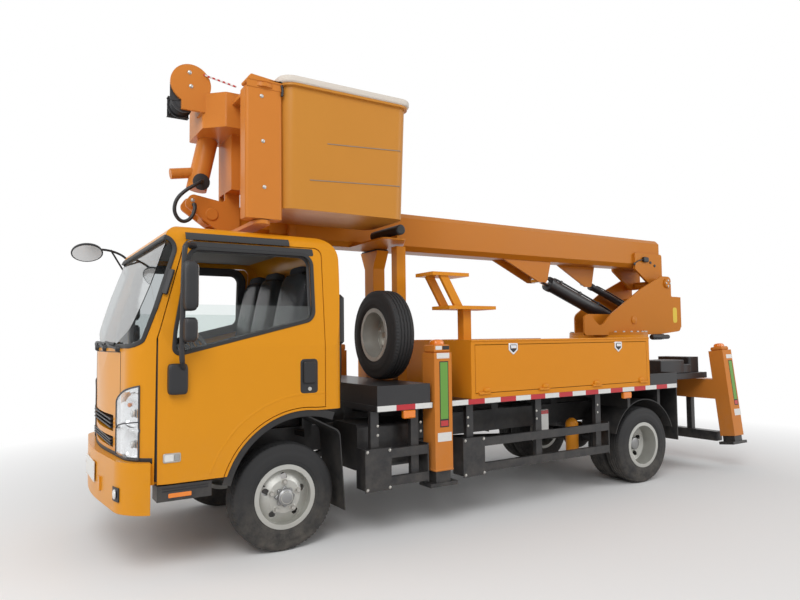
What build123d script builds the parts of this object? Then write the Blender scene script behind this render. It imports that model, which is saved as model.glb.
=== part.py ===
from build123d import *
import os
from math import cos, hypot, radians, sin

# Truck-mounted telescopic aerial platform, in millimetres.
# x runs forward from the front axle, y to the left, z up from the ground.

# Wheels and axles
WHEELBASE = 3815
TYRE_R = 380
TYRE_W = 200
TYRE_BULGE = 57
TYRE_SHOULDER = 60
TREAD_EDGE = 36
TREAD_DROP = 12
BEAD_R = 205
BEAD_HALF = 75
FLANGE_R = 226
FLANGE_WALL = 7
RIM_WALL = 12
RIM_HALF = 94
DISC_WALL = 12
DISC_FLAT_R = 116
DISH_IN = 53
REAR_DISH = 28
FRONT_TRACK_HALF = 752
FRONT_FACE = 73
TWIN_MID = 712
TWIN_PITCH = 225
HUB_R = 56
HUB_CAP_R = 44
HUB_CAP = 18
HUB_IN = 50
HUB_OUT = 110
REAR_HUB_R = 68
REAR_HUB_IN = 90
REAR_HUB_OUT = 70
REAR_CAP = 30
HUB_HOLES = 5
HUB_HOLE_R = 24
HUB_HOLE_PCR = 142
SPINDLE_R = 26
REAR_SPINDLE_R = 32
SPINDLE_FIT = 0.3
SPINDLE_END = 36
REAR_SPINDLE_END = 46
SPINDLE_GAP = 4
KINGPIN_Y = 640
KINGPIN_R = 18
KNUCKLE_HALF_Z = 70
KNUCKLE_EAR = 25
KNUCKLE_HALF_X = 38
KNUCKLE_WEB = 14
BOSS_R = 40
STEER_GAP = 6
BEAM_HALF = 38
AXLE_TUBE_R = 58
AXLE_TUBE_END = 95
DIFF_R = 150
SHAFT_R = 38
SHAFT_GAP = 4

# Chassis
RAIL_BOTTOM = 600
RAIL_TOP = 800
RAIL_OUT = 375
RAIL_FLANGE = 65
MEMBER_HALF = 40
MEMBER_INSET = 35
SPRING_Y = 310
SPRING_W = 60
SPRING_LEAVES = 55
SPRING_HALF = 600
SPRING_FLAT = 120
SPRING_EYE = 30
PAD_LIFT = 52
PAD_HALF = 60
PAD_SIDE = 15
ENGINE_FRONT = 480
ENGINE_LENGTH = 900
ENGINE_HALF = 300
ENGINE_DROP = 80
ENGINE_GAP = 25
ENGINE_MOUNT = 60
TANK_W = 425
TANK_LENGTH = 530
TANK_DROP = 120
TANK_LIFT = 30
TANK_CORNER = 40
TANK_GAP = 46
MOUNT_W = 90
STEP_DROP = 100
STEP_DEPTH = 155
STEP_LENGTH = 350
STEP_GAP = 10
STEP_ARM = 80

# Cab
CAB_HALF = 930
CAB_LEAN = 80
CAB_REAR = -415
CAB_FRONT = 1112
CAB_CORNER_BACK = 92
CAB_CORNER_R = 260
CAB_REAR_R = 60
CAB_NOSE_R = 3000
CAB_BOTTOM = 590
CAB_REAR_BOTTOM = 985
CAB_ROOF = 2270
CAB_ROOF_FALL = 20
CAB_ROOF_CORNER = 130
ROOF_REAR_R = 170
ROOF_FRONT_R = 120
ROOF_FRONT_BACK = 312
COWL_BACK = 27
COWL_Z = 1440
COWL_R = 60
NOSE_Z = 1100
BELT_Z = 1450
CAB_WALL = 45
LAP = 1
ARCH_X = -124
ARCH_LIFT = 10
ARCH_R = 600
ARCH_LIP = 22
TUNNEL_HALF = 430
TUNNEL_BACK = 82
FOOTWELL_X0 = 505
FOOTWELL_BACK = 112
DOOR_FRONT = 890
DOOR_RAKE = 8
DOOR_KNEE = 60
DOOR_TOP_DROP = 107
DOOR_TOP_FRONT = 700
DOOR_REAR_BACK = 142
DOOR_CORNER = 60
DOOR_GAP = 6
DOOR_DEPTH = 150
DOOR_UNDER = 20
DOOR_AXIS_BACK = 22
DOOR_AXIS_IN = 10
DOOR_EDGE_R = 14
WINDOW_FALL = 240
WINDOW_REAR_H = 472
WINDOW_FRONT = 790
WINDOW_KNEE_X = 775
WINDOW_KNEE_UP = 160
WINDOW_TOP_FRAME = 51
WINDOW_FRONT_FRAME = 28
WINDOW_REAR_FRAME = 78
WINDOW_CORNER = 80
SCREEN_LOW = 1465
SCREEN_LOW_X = 973
SCREEN_TOP_X = 745
SCREEN_TOP_DROP = 90
SCREEN_CORNER = 160
SCREEN_SIDE = 10
BACK_LIGHT_HALF = 560
BACK_LIGHT_LEAN = 40
BACK_LIGHT_H = 480
BACK_LIGHT_DROP = 250
BACK_LIGHT_R = 70
GLASS = 6
GLASS_INSET = 16
GLASS_UP = 95

# Cab fittings
DASH_LOW = 1150
DASH_SIDE = 95
DASH_X = 600
DASH_ROUND = 40
WHEEL_HUB = (470, 430, 1400)
WHEEL_R = 205
WHEEL_RIM_R = 15
WHEEL_LEAN = 30
SPOKE_W = 36
COLUMN_R = 28
DRIVER_SIDE = 240
DRIVER_W = 520
BENCH_SIDE = 150
BENCH_W = 840
SEAT_LENGTH = 540
SEAT_REAR = 215
SEAT_BASE = 220
SEAT_CUSHION = 150
SEAT_HEADROOM = 220
SEAT_THICK = 110
SEAT_IN = 30
SEAT_RAKE = 130
BUMPER_OUT = 58
BUMPER_BACK = 190
BUMPER_BOTTOM = 412
BUMPER_TOP = 735
BUMPER_WALL = 50
BUMPER_SIDE = 28
BUMPER_GAP = 4
BUMPER_ARM_Y = 345
BUMPER_ARM_W = 60
BUMPER_ARM_H = 92
BUMPER_ARM_LAP = 160
LAMP_DEPTH = 60
LAMP_BACK = 137
LAMP_SPAN = 296
LAMP_LOW = 744
LAMP_INNER_TOP = 1100
LAMP_TOP = 1225
LAMP_BROW = 126
LAMP_CORNER = 30
SLOT_HALF = 430
SLOT_FIN = 5
SLOT_FINS = 3
SLOT_ROWS = [(781, 852), (888, 996)]
SLOT_IN = 140
FIN_IN = 70
FIN_OUT = 25
MIRROR_GAP = 80
MIRROR_OUT = 90
MIRROR_IN = 50
MIRROR_BAR_R = 12
MIRROR_FOOT = (720, 1240)
MIRROR_LOW = (760, 1260)
MIRROR_HIGH_X = 745
MIRROR_HIGH_DROP = 53
MIRROR_TOP_X = 640
MIRROR_TOP_DROP = 38
MIRROR_HEAD_X = (690, 752)
MIRROR_HEAD_DROPS = [(420, 110), (620, 470)]
MIRROR_CORNER = 25
EYE_X = 1104
EYE_OUT = 20
EYE_DROP = 6
EYE_R = 126
EYE_DEPTH = 50
EYE_LEAN = 60
EYE_ARM_R = 10
SLEEVE_R = 22
SLEEVE_H = 40

# Deck and bodywork behind the cab
DECK_TOP = 985
DECK_PLATE = 45
DECK_HALF = 1000
DECK_LEAD = 245
CROSS_W = 80
CROSS_PITCH = 790
CROSS_COUNT = 5
SKIRT = 8
SKIRT_UP = 115
SKIRT_RETURN = 300
FRONT_BOX_UP = 150
FRONT_BOX_LENGTH = 480
REAR_PLATE_UP = 55
REAR_PLATE = 25
REAR_PLATE_HALF = 800
VALVE_BACK = 550
VALVE_HALF = 90
VALVE_Y = (330, 760)
VALVE_H = 175
BOX_LEAD = 299
BOX_PAST = 25
BOX_TOP = 1472
BOX_INNER = 560
BOX_WALL = 20
BOX_DOOR_INSET = 40
BOX_DOOR_GAP = 5
HINGE_R = 9
HINGE_LENGTH = 60
HINGE_COUNT = 4
HINGE_INSET = 130
HINGE_FIT = 0.3
GUARD_SKIN = 8
GUARD_GAP = 30
GUARD_IN = 560
FLAP_BACK = 25
FLAP_BOTTOM = 235
FLAP_WALL = 15
FLAP_RAKE = 40
FLAP_ROUND = 140
GUARD_STAY = 60
REAR_GUARD_GAP = 85
REAR_GUARD_SIDE = 15
REAR_GUARD_RISE = 150
REAR_FLAP_LOW = 385
RAIL_GUARD_SIDE = 40
RAIL_GUARD_W = 40
RAIL_GUARD_LOW = 375
RAIL_GUARD_H = 70
RAIL_GUARD_PITCH = 210
RAIL_GUARD_END = 12
RAIL_GUARD_PLATE = 226
RAIL_GUARD_GAP = 36
RAIL_GUARD_LEAD = 130
REST_X = -1215
REST_HALF = 60
REST_POST_HALF = 80
REST_SPREAD = 160
REST_PAD_GAP = 16
SPARE_X = -1050
SPARE_Y = 430
SPARE_DISH = 40
SPARE_STEP = 36
SPARE_ARM_R = 40
SPARE_Z = 1525
POST_SIDE = 90
STEP_Y = (600, 860)
STEP_RISE = 280
STEP_STAND = 263
STEP_PLATE = 30
STEP_LEAD = 111
STEP_GOING = 167
STEP_TREAD = 505

# Outriggers
LEG_W = 170
LEG_WALL = 10
LEG_OUT = 1020
LEG_X = -1261
LEG_BOTTOM = 440
LEG_TOP = 1375
LEG_GUIDE = 60
LEG_GAP = 8
BEAM_W = 150
BEAM_FIT = 6
BEAM_ROOT = 20
SHOE = 80
LAMP_BOX = 90
LAMP_BOX_H = 28
JACK_W = 138
JACK_STROKE = 400
JACK_STAY = 250
JACK_OUT = 90
FOOT_W = 260
FOOT_H = 30
FOOT_Z = 320
REAR_LEG_BACK = 780
REAR_LEG_Y = 925
REAR_LEG_LEAN = 6.7
REAR_LEG_TOP = 1310
REAR_LEG_LENGTH = 950
REAR_BOX_Z0 = 765
REAR_BOX_H = 220
UNDERRUN_Z = 340
UNDERRUN_HALF = 880
UNDERRUN_H = 100
UNDERRUN_POST_Y = 530
UNDERRUN_POST = 60

# Turret
SLEW_BACK = 585
SLEW_R = 450
SLEW_RING = 60
SLEW_Z = 1500
SLEW_GAP = 0.3
PEDESTAL_R = 400
TURRET_HALF = 300
TURRET_PLATE = 20
TURRET_FLOOR = 30
TURRET_LENGTH = 1020
TURRET_COVER = 40
COVER_LAP = 10
TOE_OUT = 725
TOE_H = 240
TOE_IN = 150
TOE_SHORT = 185
CHEEK_OUT = 250
PIVOT_BACK = 725
PIVOT_DROP = 370
PIVOT_R = 45
PIVOT_OUT = 15
EAR_R = 85
PIN_FIT = 0.3

# Boom
BOOM_OVER_CAB = 42.5
BOOM_W = 300
BOOM_H = 355
BOOM_WALL = 12
BOOM_CHAMFER = 45
BOOM_REAR_OUT = 75
BOOM_FRONT_BACK = 620
BOOM_END = 15
BOOM_STAGES = 3
STAGE_STEP = 50
STAGE_STEP_H = 55
STAGE_OUT = 150
STAGE_BACK = 150
PAD_LENGTH = 120
PAD_FIT = 0.3
PAD_EDGE = 10
FOOT_PLATE = 30
FOOT_REACH = 420
LIFT_BASE_BACK = 100
LIFT_BASE_UP = 170
LIFT_EYE_FRONT = 1130
LIFT_EYE_UP = 25
LIFT_BARREL_R = 75
LIFT_ROD_R = 42
LIFT_ROD_OUT = 110
LIFT_EYE_R = 60
LIFT_PIN_R = 28
LIFT_CHEEK_Y = 75
LIFT_FIN = 560
CHEEK = 20
EYE_SIDE = 6
GLAND = 60
LEVEL_Y = -170
LEVEL_BASE_FRONT = 175
LEVEL_BASE_DROP = 270
LEVEL_EYE_FRONT = 925
LEVEL_EYE_UP = 10
LEVEL_BARREL_R = 38
LEVEL_ROD_R = 20
LEVEL_ROD_OUT = 70
LEVEL_EYE_R = 34
LEVEL_PIN_R = 15
LEVEL_FIN = 500
LEVEL_HALF = 38
LEVEL_CHEEK = 45
BASKET_PLATE = 14
BASKET_PLATE_LEAD = 140
BASKET_PLATE_TAIL = 420
BASKET_PLATE_SHORT = 255
BASKET_PAD_R = 40
BASKET_PAD_GAP = 8
BASKET_ARM = 25

# Platform
NECK_HALF = 60
NECK_H = 170
LEVEL_PIN_X = 320
LEVEL_PIN_UP = 10
LEVEL_PIN_BORE = 32
UPRIGHT_X0 = 95
UPRIGHT_X1 = 215
UPRIGHT_Y1 = 260
UPRIGHT_CHEEK = 26
UPRIGHT_DROP = 165
UPRIGHT_POST_UP = 180
UPRIGHT_NOSE = 540
NOSE_UP = 60
NOSE_R = 45
ARM_UP = 620
ARM_H = 270
ARM_X1 = 450
ARM_Y0 = -130
ARM_Y1 = 430
ARM_CORNER = 140
SWING_X = 170
SWING_Y = 825
SWING_PIN_R = 35
SWING_PIN_IN = 60
COLUMN_HALF_X = 136
COLUMN_HALF_Y = 65
COLUMN_DROP = 150
COLUMN_H = 940
COLUMN_CORNER = 25
YOKE = 28
YOKE_GAP = 6
YOKE_TOP_R = 90
YOKE_LOW_R = 60
BASKET_LENGTH = 1074
BASKET_Y0 = 250
BASKET_Y1 = 955
BASKET_UP = 90
BASKET_H = 955
BASKET_TAPER = 28
BASKET_WALL = 22
BASKET_CORNER = 90
BASKET_RIM = 22
BASKET_RIM_H = 60
DRIVE_R = 80
DRIVE_X = (330, 420)
STUB_R = 42
STUB_END = 620
WINCH_X = 540
WINCH_Y = 300
WINCH_UP = 55
WINCH_R = 150
WINCH_WALL = 22
DRUM_R = 70
DRUM_LENGTH = 160
DRUM_DROP = 130
MOTOR = 75
HOSE_R = 14
HOSE_COLLAR = 8
HOSE_ROUTE = [(412, 190, 2745), (470, 235, 2700), (560, 240, 2640), (630, 230, 2560),
              (640, 215, 2460), (575, 205, 2390), (495, 205, 2440), (470, 195, 2560)]
HOSE_ROUND = 0.45
HOSE_OUT = 115
HOSE_TOP_AHEAD = 92
HOSE_TOP_UP = 245
HOSE_LOW_AHEAD = 150
HOSE_LOW_UP = 60

# Places that follow from the sizes above
AXLE_Z = TYRE_R
REAR_X = -WHEELBASE
CAB_CORNER_X = CAB_FRONT - CAB_CORNER_BACK
CAB_ROOF_HALF = CAB_HALF - CAB_LEAN
ROOF_FRONT_X = CAB_FRONT - ROOF_FRONT_BACK
COWL_X = CAB_FRONT - COWL_BACK
ARCH_Z = AXLE_Z + ARCH_LIFT
DOOR_TOP = CAB_ROOF - DOOR_TOP_DROP
DOOR_REAR = CAB_REAR + DOOR_REAR_BACK
WINDOW_TOP = DOOR_TOP - WINDOW_TOP_FRAME
WINDOW_SILL_REAR = WINDOW_TOP - WINDOW_REAR_H
WINDOW_SILL_FRONT = WINDOW_SILL_REAR - WINDOW_FALL
GLASS_TOP = WINDOW_SILL_REAR + GLASS_UP
LAMP_INNER = CAB_HALF - LAMP_SPAN
SEAT_ROWS = [(CAB_HALF - DRIVER_SIDE - DRIVER_W, CAB_HALF - DRIVER_SIDE),
             (BENCH_SIDE - CAB_HALF, BENCH_SIDE + BENCH_W - CAB_HALF)]
DOOR_AXIS_X = DOOR_FRONT - DOOR_AXIS_BACK
DOOR_AXIS_Y = CAB_HALF - DOOR_AXIS_IN
SCREEN_TOP = CAB_ROOF - SCREEN_TOP_DROP
RAIL_FRONT = CAB_CORNER_X
ENGINE_REAR = ENGINE_FRONT - ENGINE_LENGTH
ENGINE_Z0 = RAIL_BOTTOM - ENGINE_DROP
MIRROR_Y = CAB_HALF + MIRROR_GAP
MIRROR_HIGH = (MIRROR_HIGH_X, DOOR_TOP - MIRROR_HIGH_DROP)
MIRROR_TOP = (MIRROR_TOP_X, DOOR_TOP - MIRROR_TOP_DROP)
EYE_Z = CAB_ROOF - EYE_DROP
DECK_LOW = DECK_TOP - DECK_PLATE
DECK_FRONT = CAB_REAR - DECK_LEAD
RAIL_GUARD_Y = DECK_HALF - RAIL_GUARD_SIDE
DECK_REAR = REAR_X - TYRE_R - REAR_GUARD_GAP
BOX_FRONT = LEG_X - BOX_LEAD
BOX_REAR = REAR_X - BOX_PAST
BEAM_H = DECK_LOW - RAIL_TOP - 2 * (BEAM_FIT + LEG_WALL)
REAR_PLATE_Z = DECK_TOP + REAR_PLATE_UP
SLEW_X = REAR_X - SLEW_BACK
REAR_LEG_X = SLEW_X - REAR_LEG_BACK
TURRET_REAR = SLEW_X - TURRET_LENGTH
BOOM_LOW = CAB_ROOF + BOOM_OVER_CAB
BOOM_Z = BOOM_LOW + BOOM_H / 2
PIVOT_X = SLEW_X - PIVOT_BACK
PIVOT_Z = BOOM_Z - PIVOT_DROP
BOOM_REAR = PIVOT_X - BOOM_REAR_OUT
BOOM_FRONT = LEVEL_PIN_X - BOOM_FRONT_BACK
LIFT_BASE = (SLEW_X - LIFT_BASE_BACK, SLEW_Z + LIFT_BASE_UP)
LIFT_EYE = (SLEW_X + LIFT_EYE_FRONT, PIVOT_Z + LIFT_EYE_UP)
LEVEL_BASE = (PIVOT_X + LEVEL_BASE_FRONT, PIVOT_Z - LEVEL_BASE_DROP)
LEVEL_EYE = (PIVOT_X + LEVEL_EYE_FRONT, PIVOT_Z + LEVEL_EYE_UP)
LEVEL_PIN_Z = BOOM_Z + LEVEL_PIN_UP
HOSE_START = (LEVEL_PIN_X + HOSE_TOP_AHEAD, HOSE_OUT, LEVEL_PIN_Z + HOSE_TOP_UP)
HOSE_END = (LEVEL_PIN_X + HOSE_LOW_AHEAD, HOSE_OUT, LEVEL_PIN_Z + HOSE_LOW_UP)
ARM_Z0 = LEVEL_PIN_Z + ARM_UP
ARM_Z1 = ARM_Z0 + ARM_H
COLUMN_Z0 = LEVEL_PIN_Z - COLUMN_DROP
COLUMN_Z1 = COLUMN_Z0 + COLUMN_H
BASKET_X1 = SWING_X - COLUMN_HALF_X
BASKET_X0 = BASKET_X1 - BASKET_LENGTH
BASKET_Z0 = COLUMN_Z0 + BASKET_UP
BASKET_Z1 = BASKET_Z0 + BASKET_H
WINCH_Z = ARM_Z1 + WINCH_UP
SHIFT_X = -(EYE_X + EYE_R + TURRET_REAR) / 2
FAR = 3 * WHEELBASE
nodes = {}


def add(name, *shapes):
    """Keep a node: one shape, or several that belong to it."""
    whole = shapes[0]
    for shape in shapes[1:]:
        whole = whole + shape
    nodes[name] = whole


def add_pair(name, shape):
    """Keep a left node and its mirror image on the right."""
    add(name + "left", shape)
    add(name + "right", mirror(shape, about=Plane.XZ))


def block(x0, x1, y0, y1, z0, z1):
    """Box between two corners."""
    size = (abs(x1 - x0), abs(y1 - y0), abs(z1 - z0))
    return Pos((x0 + x1) / 2, (y0 + y1) / 2, (z0 + z1) / 2) * Box(*size)


def face_of(points, radii):
    """Flat outline in its own plane, with the given corner radii (0 is sharp)."""
    if isinstance(radii, (int, float)):
        radii = [radii] * len(points)
    if max(radii) == 0:
        return make_face(Polyline(*points, close=True))
    return make_face(FilletPolyline(*points, radius=radii, close=True))


def prism_y(points, y0, y1, radii=0):
    """Outline of (x, z) points carried across from y0 to y1."""
    plane = Plane(origin=(0, max(y0, y1), 0), x_dir=(1, 0, 0), z_dir=(0, -1, 0))
    return extrude(plane * face_of(points, radii), amount=abs(y1 - y0), dir=(0, -1, 0))


def prism_x(points, x0, x1, radii=0):
    """Outline of (y, z) points carried along from x0 to x1."""
    plane = Plane(origin=(min(x0, x1), 0, 0), x_dir=(0, 1, 0), z_dir=(1, 0, 0))
    return extrude(plane * face_of(points, radii), amount=abs(x1 - x0), dir=(1, 0, 0))


def prism_z(points, z0, z1, radii=0):
    """Outline of (x, y) points carried up from z0 to z1."""
    return extrude(Pos(0, 0, z0) * face_of(points, radii), amount=z1 - z0, dir=(0, 0, 1))


def rod(start, end, radius):
    """Round bar between two points."""
    a = Vector(*start)
    along = Vector(*end) - a
    return extrude(Plane(origin=a, z_dir=along) * Circle(radius), amount=along.length)


def bent_bar(points, radius):
    """Round bar through a list of points, with a ball at each bend."""
    bar = rod(points[0], points[1], radius)
    for start, end in zip(points[1:-1], points[2:]):
        bar = bar + Pos(*start) * Sphere(radius) + rod(start, end, radius)
    return bar


def lathe(points):
    """Ring about the Y axis from (y, radius) points."""
    return revolve(make_face(Polyline(*[(r, y) for y, r in points], close=True)), Axis.Y)


def barrel_y(x, y0, y1, z, radius):
    """Round bar along Y."""
    return rod((x, y0, z), (x, y1, z), radius)


def both(shape):
    """The shape and its mirror image on the other side."""
    return shape + mirror(shape, about=Plane.XZ)


def cab_plan(grow):
    """Plan outline of the cab, grown outwards by the given amount."""
    points = [(CAB_REAR, -CAB_HALF), (CAB_CORNER_X, -CAB_HALF), (CAB_FRONT, 0),
              (CAB_CORNER_X, CAB_HALF), (CAB_REAR, CAB_HALF)]
    outline = face_of(points, [CAB_REAR_R, CAB_CORNER_R, CAB_NOSE_R, CAB_CORNER_R, CAB_REAR_R])
    return offset(outline, amount=grow) if grow else outline


def cab_form(inset):
    """Cab body: side, plan and front outlines carried through each other, each inset alike."""
    side = face_of([(CAB_REAR, CAB_BOTTOM), (CAB_REAR, CAB_ROOF - CAB_ROOF_FALL), (ROOF_FRONT_X,
                                                                                   CAB_ROOF),
                    (COWL_X, COWL_Z), (CAB_FRONT, NOSE_Z), (CAB_FRONT, CAB_BOTTOM)],
                   [0, ROOF_REAR_R, ROOF_FRONT_R, COWL_R, 0, 0])
    front = face_of([(-CAB_HALF, CAB_BOTTOM), (-CAB_HALF, BELT_Z), (-CAB_ROOF_HALF, CAB_ROOF),
                     (CAB_ROOF_HALF, CAB_ROOF), (CAB_HALF, BELT_Z), (CAB_HALF, CAB_BOTTOM)],
                    [0, 0, CAB_ROOF_CORNER, CAB_ROOF_CORNER, 0, 0])
    if inset:
        side = offset(side, amount=-inset)
        front = offset(front, amount=-inset)
    side_plane = Plane(origin=(0, CAB_HALF, 0), x_dir=(1, 0, 0), z_dir=(0, -1, 0))
    front_plane = Plane(origin=(2 * CAB_REAR, 0, 0), x_dir=(0, 1, 0), z_dir=(1, 0, 0))
    body = extrude(side_plane * side, amount=2 * CAB_HALF, dir=(0, -1, 0))
    body = body & extrude(front_plane * front, amount=FAR, dir=(1, 0, 0))
    return body & extrude(cab_plan(-inset), amount=FAR, dir=(0, 0, 1))


def arch_cut(grow, y0, y1):
    """Wheel arch opening, with the flat rear floor line behind it."""
    cut = barrel_y(ARCH_X, y0, y1, ARCH_Z, ARCH_R + grow)
    return cut + block(2 * CAB_REAR, ARCH_X, y0, y1, 0, CAB_REAR_BOTTOM + grow)


def door_outline(grow, y0, y1):
    """Door region in side view, down to the sill in front and to the arch behind."""
    front = DOOR_FRONT + grow
    low = CAB_BOTTOM - DOOR_UNDER
    points = [(front, low), (front - DOOR_RAKE, BELT_Z + DOOR_KNEE), (DOOR_TOP_FRONT + grow,
                                                                      DOOR_TOP + grow),
              (DOOR_REAR - grow, DOOR_TOP + grow), (DOOR_REAR - grow, low)]
    return prism_y(points, y0, y1, [0, 0, DOOR_CORNER, DOOR_CORNER, 0]) - arch_cut(ARCH_LIP - grow, y0,
                                                                                   y1)


def window_outline(y0, y1):
    """Side window opening, its lower edge falling towards the front."""
    rear = DOOR_REAR + WINDOW_REAR_FRAME
    top = WINDOW_TOP
    knee = (WINDOW_KNEE_X, WINDOW_SILL_FRONT + WINDOW_KNEE_UP)
    points = [(WINDOW_FRONT, WINDOW_SILL_FRONT), knee, (DOOR_TOP_FRONT - WINDOW_FRONT_FRAME, top),
              (rear, top), (rear, WINDOW_SILL_REAR)]
    return prism_y(points, y0, y1, [WINDOW_CORNER / 2] + 4 * [WINDOW_CORNER])


def windscreen_cut():
    """Windscreen that wraps round both corners, up to a raked line on the cab's sides."""
    side = [(SCREEN_LOW_X, SCREEN_LOW), (SCREEN_TOP_X, SCREEN_TOP), (2 * CAB_FRONT, SCREEN_TOP),
            (2 * CAB_FRONT, SCREEN_LOW)]
    half = CAB_HALF - SCREEN_SIDE
    front = [(-half, SCREEN_LOW), (-half, FAR), (half, FAR), (half, SCREEN_LOW)]
    cut = prism_y(side, -FAR, FAR, [0, WINDOW_CORNER, 0, 0])
    return cut & prism_x(front, 0, FAR, [SCREEN_CORNER, 0, 0, SCREEN_CORNER])


def rear_window_cut():
    top = CAB_ROOF - BACK_LIGHT_DROP
    low = top - BACK_LIGHT_H
    half = BACK_LIGHT_HALF - BACK_LIGHT_LEAN
    points = [(-BACK_LIGHT_HALF, low), (-half, top), (half, top), (BACK_LIGHT_HALF,
                                                                              low)]
    return prism_x(points, 2 * CAB_REAR, CAB_REAR / 2, BACK_LIGHT_R)


def headlamp_outline():
    """Wrap-round lamp on the left, in front view."""
    points = [(LAMP_INNER, LAMP_LOW), (LAMP_INNER, LAMP_INNER_TOP), (LAMP_INNER + LAMP_BROW,
                                                                     LAMP_INNER_TOP + LAMP_BROW / 2),
              (2 * CAB_HALF, LAMP_TOP + LAMP_BROW), (2 * CAB_HALF, LAMP_LOW)]
    return prism_x(points, CAB_FRONT - LAMP_BACK, 2 * CAB_FRONT, [LAMP_CORNER, LAMP_CORNER,
                                                                  2 * LAMP_CORNER, 0, 0])


def slots():
    """Long slots across the front panel."""
    return [block(CAB_FRONT - SLOT_IN, 2 * CAB_FRONT, -SLOT_HALF, SLOT_HALF, z0, z1) for z0,
            z1 in SLOT_ROWS]


def build_cab():
    outer = cab_form(0)
    inner = cab_form(CAB_WALL)
    floor = CAB_REAR_BOTTOM + CAB_WALL
    sill = CAB_HALF - CAB_WALL
    depth = CAB_HALF - DOOR_DEPTH
    footwell = block(FOOTWELL_X0, CAB_FRONT - FOOTWELL_BACK, TUNNEL_HALF + CAB_WALL, sill,
                     CAB_BOTTOM + CAB_WALL, floor + LAP)
    room = inner & block(-FAR, FAR, -CAB_HALF, CAB_HALF, floor, FAR)
    room = room + both(footwell & cab_form(CAB_WALL + LAP))
    hull = outer - room - arch_cut(0, -FAR, FAR)
    hull = hull - block(-FAR, CAB_FRONT - TUNNEL_BACK, -TUNNEL_HALF, TUNNEL_HALF, 0, CAB_REAR_BOTTOM)
    opening = door_outline(DOOR_GAP, depth, FAR) - block(-FAR, FAR, 0, sill - DOOR_GAP, 0, floor)
    shell = hull - both(opening) - windscreen_cut() - rear_window_cut()
    lamp = hull & headlamp_outline() & (outer - cab_form(LAMP_DEPTH))
    shell = shell - both(lamp)
    fins = None
    for slot, (z0, z1) in zip(slots(), SLOT_ROWS):
        shell = shell - slot
        for k in range(1, SLOT_FINS + 1):
            z = z0 + (z1 - z0) * k / (SLOT_FINS + 1)
            fin = block(CAB_FRONT - FIN_IN, CAB_FRONT - FIN_OUT, -SLOT_HALF, SLOT_HALF, z - SLOT_FIN,
                        z + SLOT_FIN)
            fins = fin if fins is None else fins + fin
    add("cab_shell", shell)
    add("headlamps", both(lamp))
    add("grille", fins)
    pane = cab_form(GLASS_INSET) - cab_form(GLASS_INSET + GLASS)
    add("cab_glass", pane & windscreen_cut(), pane & rear_window_cut())

    door = ((outer - inner) & door_outline(0, depth, FAR)) - block(-FAR, FAR, 0, sill, 0, floor)
    edge = block(DOOR_AXIS_X, FAR, 0, DOOR_AXIS_Y, 0, FAR)
    edge = edge - rod((DOOR_AXIS_X, DOOR_AXIS_Y, 0), (DOOR_AXIS_X, DOOR_AXIS_Y, FAR), DOOR_EDGE_R)
    add_pair("door_", door - window_outline(depth, FAR) - edge)
    add_pair("door_glass_", pane & window_outline(depth, FAR) & block(-FAR, FAR, depth, FAR, 0,
                                                                      GLASS_TOP))
    build_mirrors(outer)
    build_cab_inside(inner, floor)
    build_bumper()


def build_mirrors(outer):
    """Door mirrors on a bar, and the front mirror on arms from the right bar."""
    bar = [(MIRROR_FOOT[0], CAB_HALF, MIRROR_FOOT[1]), (MIRROR_LOW[0], MIRROR_Y, MIRROR_LOW[1]),
           (MIRROR_HIGH[0], MIRROR_Y, MIRROR_HIGH[1]), (MIRROR_TOP[0], CAB_ROOF_HALF, MIRROR_TOP[1])]
    stay = bent_bar(bar, MIRROR_BAR_R)
    for low, high in MIRROR_HEAD_DROPS:
        z0, z1 = MIRROR_HIGH[1] - low, MIRROR_HIGH[1] - high
        head = block(*MIRROR_HEAD_X, MIRROR_Y - MIRROR_IN, MIRROR_Y + MIRROR_OUT, z0, z1)
        stay = stay + fillet(head.edges().filter_by(Axis.X), MIRROR_CORNER)
    add_pair("mirror_", stay - outer)
    x, z = MIRROR_HIGH
    y = MIRROR_Y + SLEEVE_R + EYE_ARM_R / 2
    eye_y = CAB_HALF + EYE_OUT
    sleeve = rod((x, MIRROR_Y, z - 2 * SLEEVE_H), (x, MIRROR_Y, z - SLEEVE_H / 2), SLEEVE_R)
    sleeve = sleeve - rod(bar[1], bar[2], MIRROR_BAR_R + PIN_FIT)
    neck = (EYE_X - 1.5 * EYE_R, eye_y + 2 * EYE_OUT, EYE_Z + EYE_DEPTH)
    eye = Vector(EYE_X, eye_y, EYE_Z)
    lean = Vector(0, -cos(radians(EYE_LEAN)), -sin(radians(EYE_LEAN)))
    back = eye - lean * EYE_DEPTH
    rim_back = eye - lean * (EYE_DEPTH / 4)
    bends = [(x, y, z - SLEEVE_H), (x, y, EYE_Z - EYE_OUT), neck, tuple((back + eye) / 2)]
    path = FilletPolyline(*bends, radius=EYE_R / 2)
    arms = sweep(Plane(origin=(x, y, z - SLEEVE_H), z_dir=(0, 0, 1)) * Circle(EYE_ARM_R), path=path)
    arms = arms + rod((x, y, z - 1.5 * SLEEVE_H), neck, EYE_ARM_R * 3 / 4)
    head = rod(tuple(back), tuple(rim_back + lean), EYE_R * 3 / 5) + rod(tuple(rim_back), tuple(eye), EYE_R)
    add("front_mirror", mirror(sleeve + arms + head, about=Plane.XZ))


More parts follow.
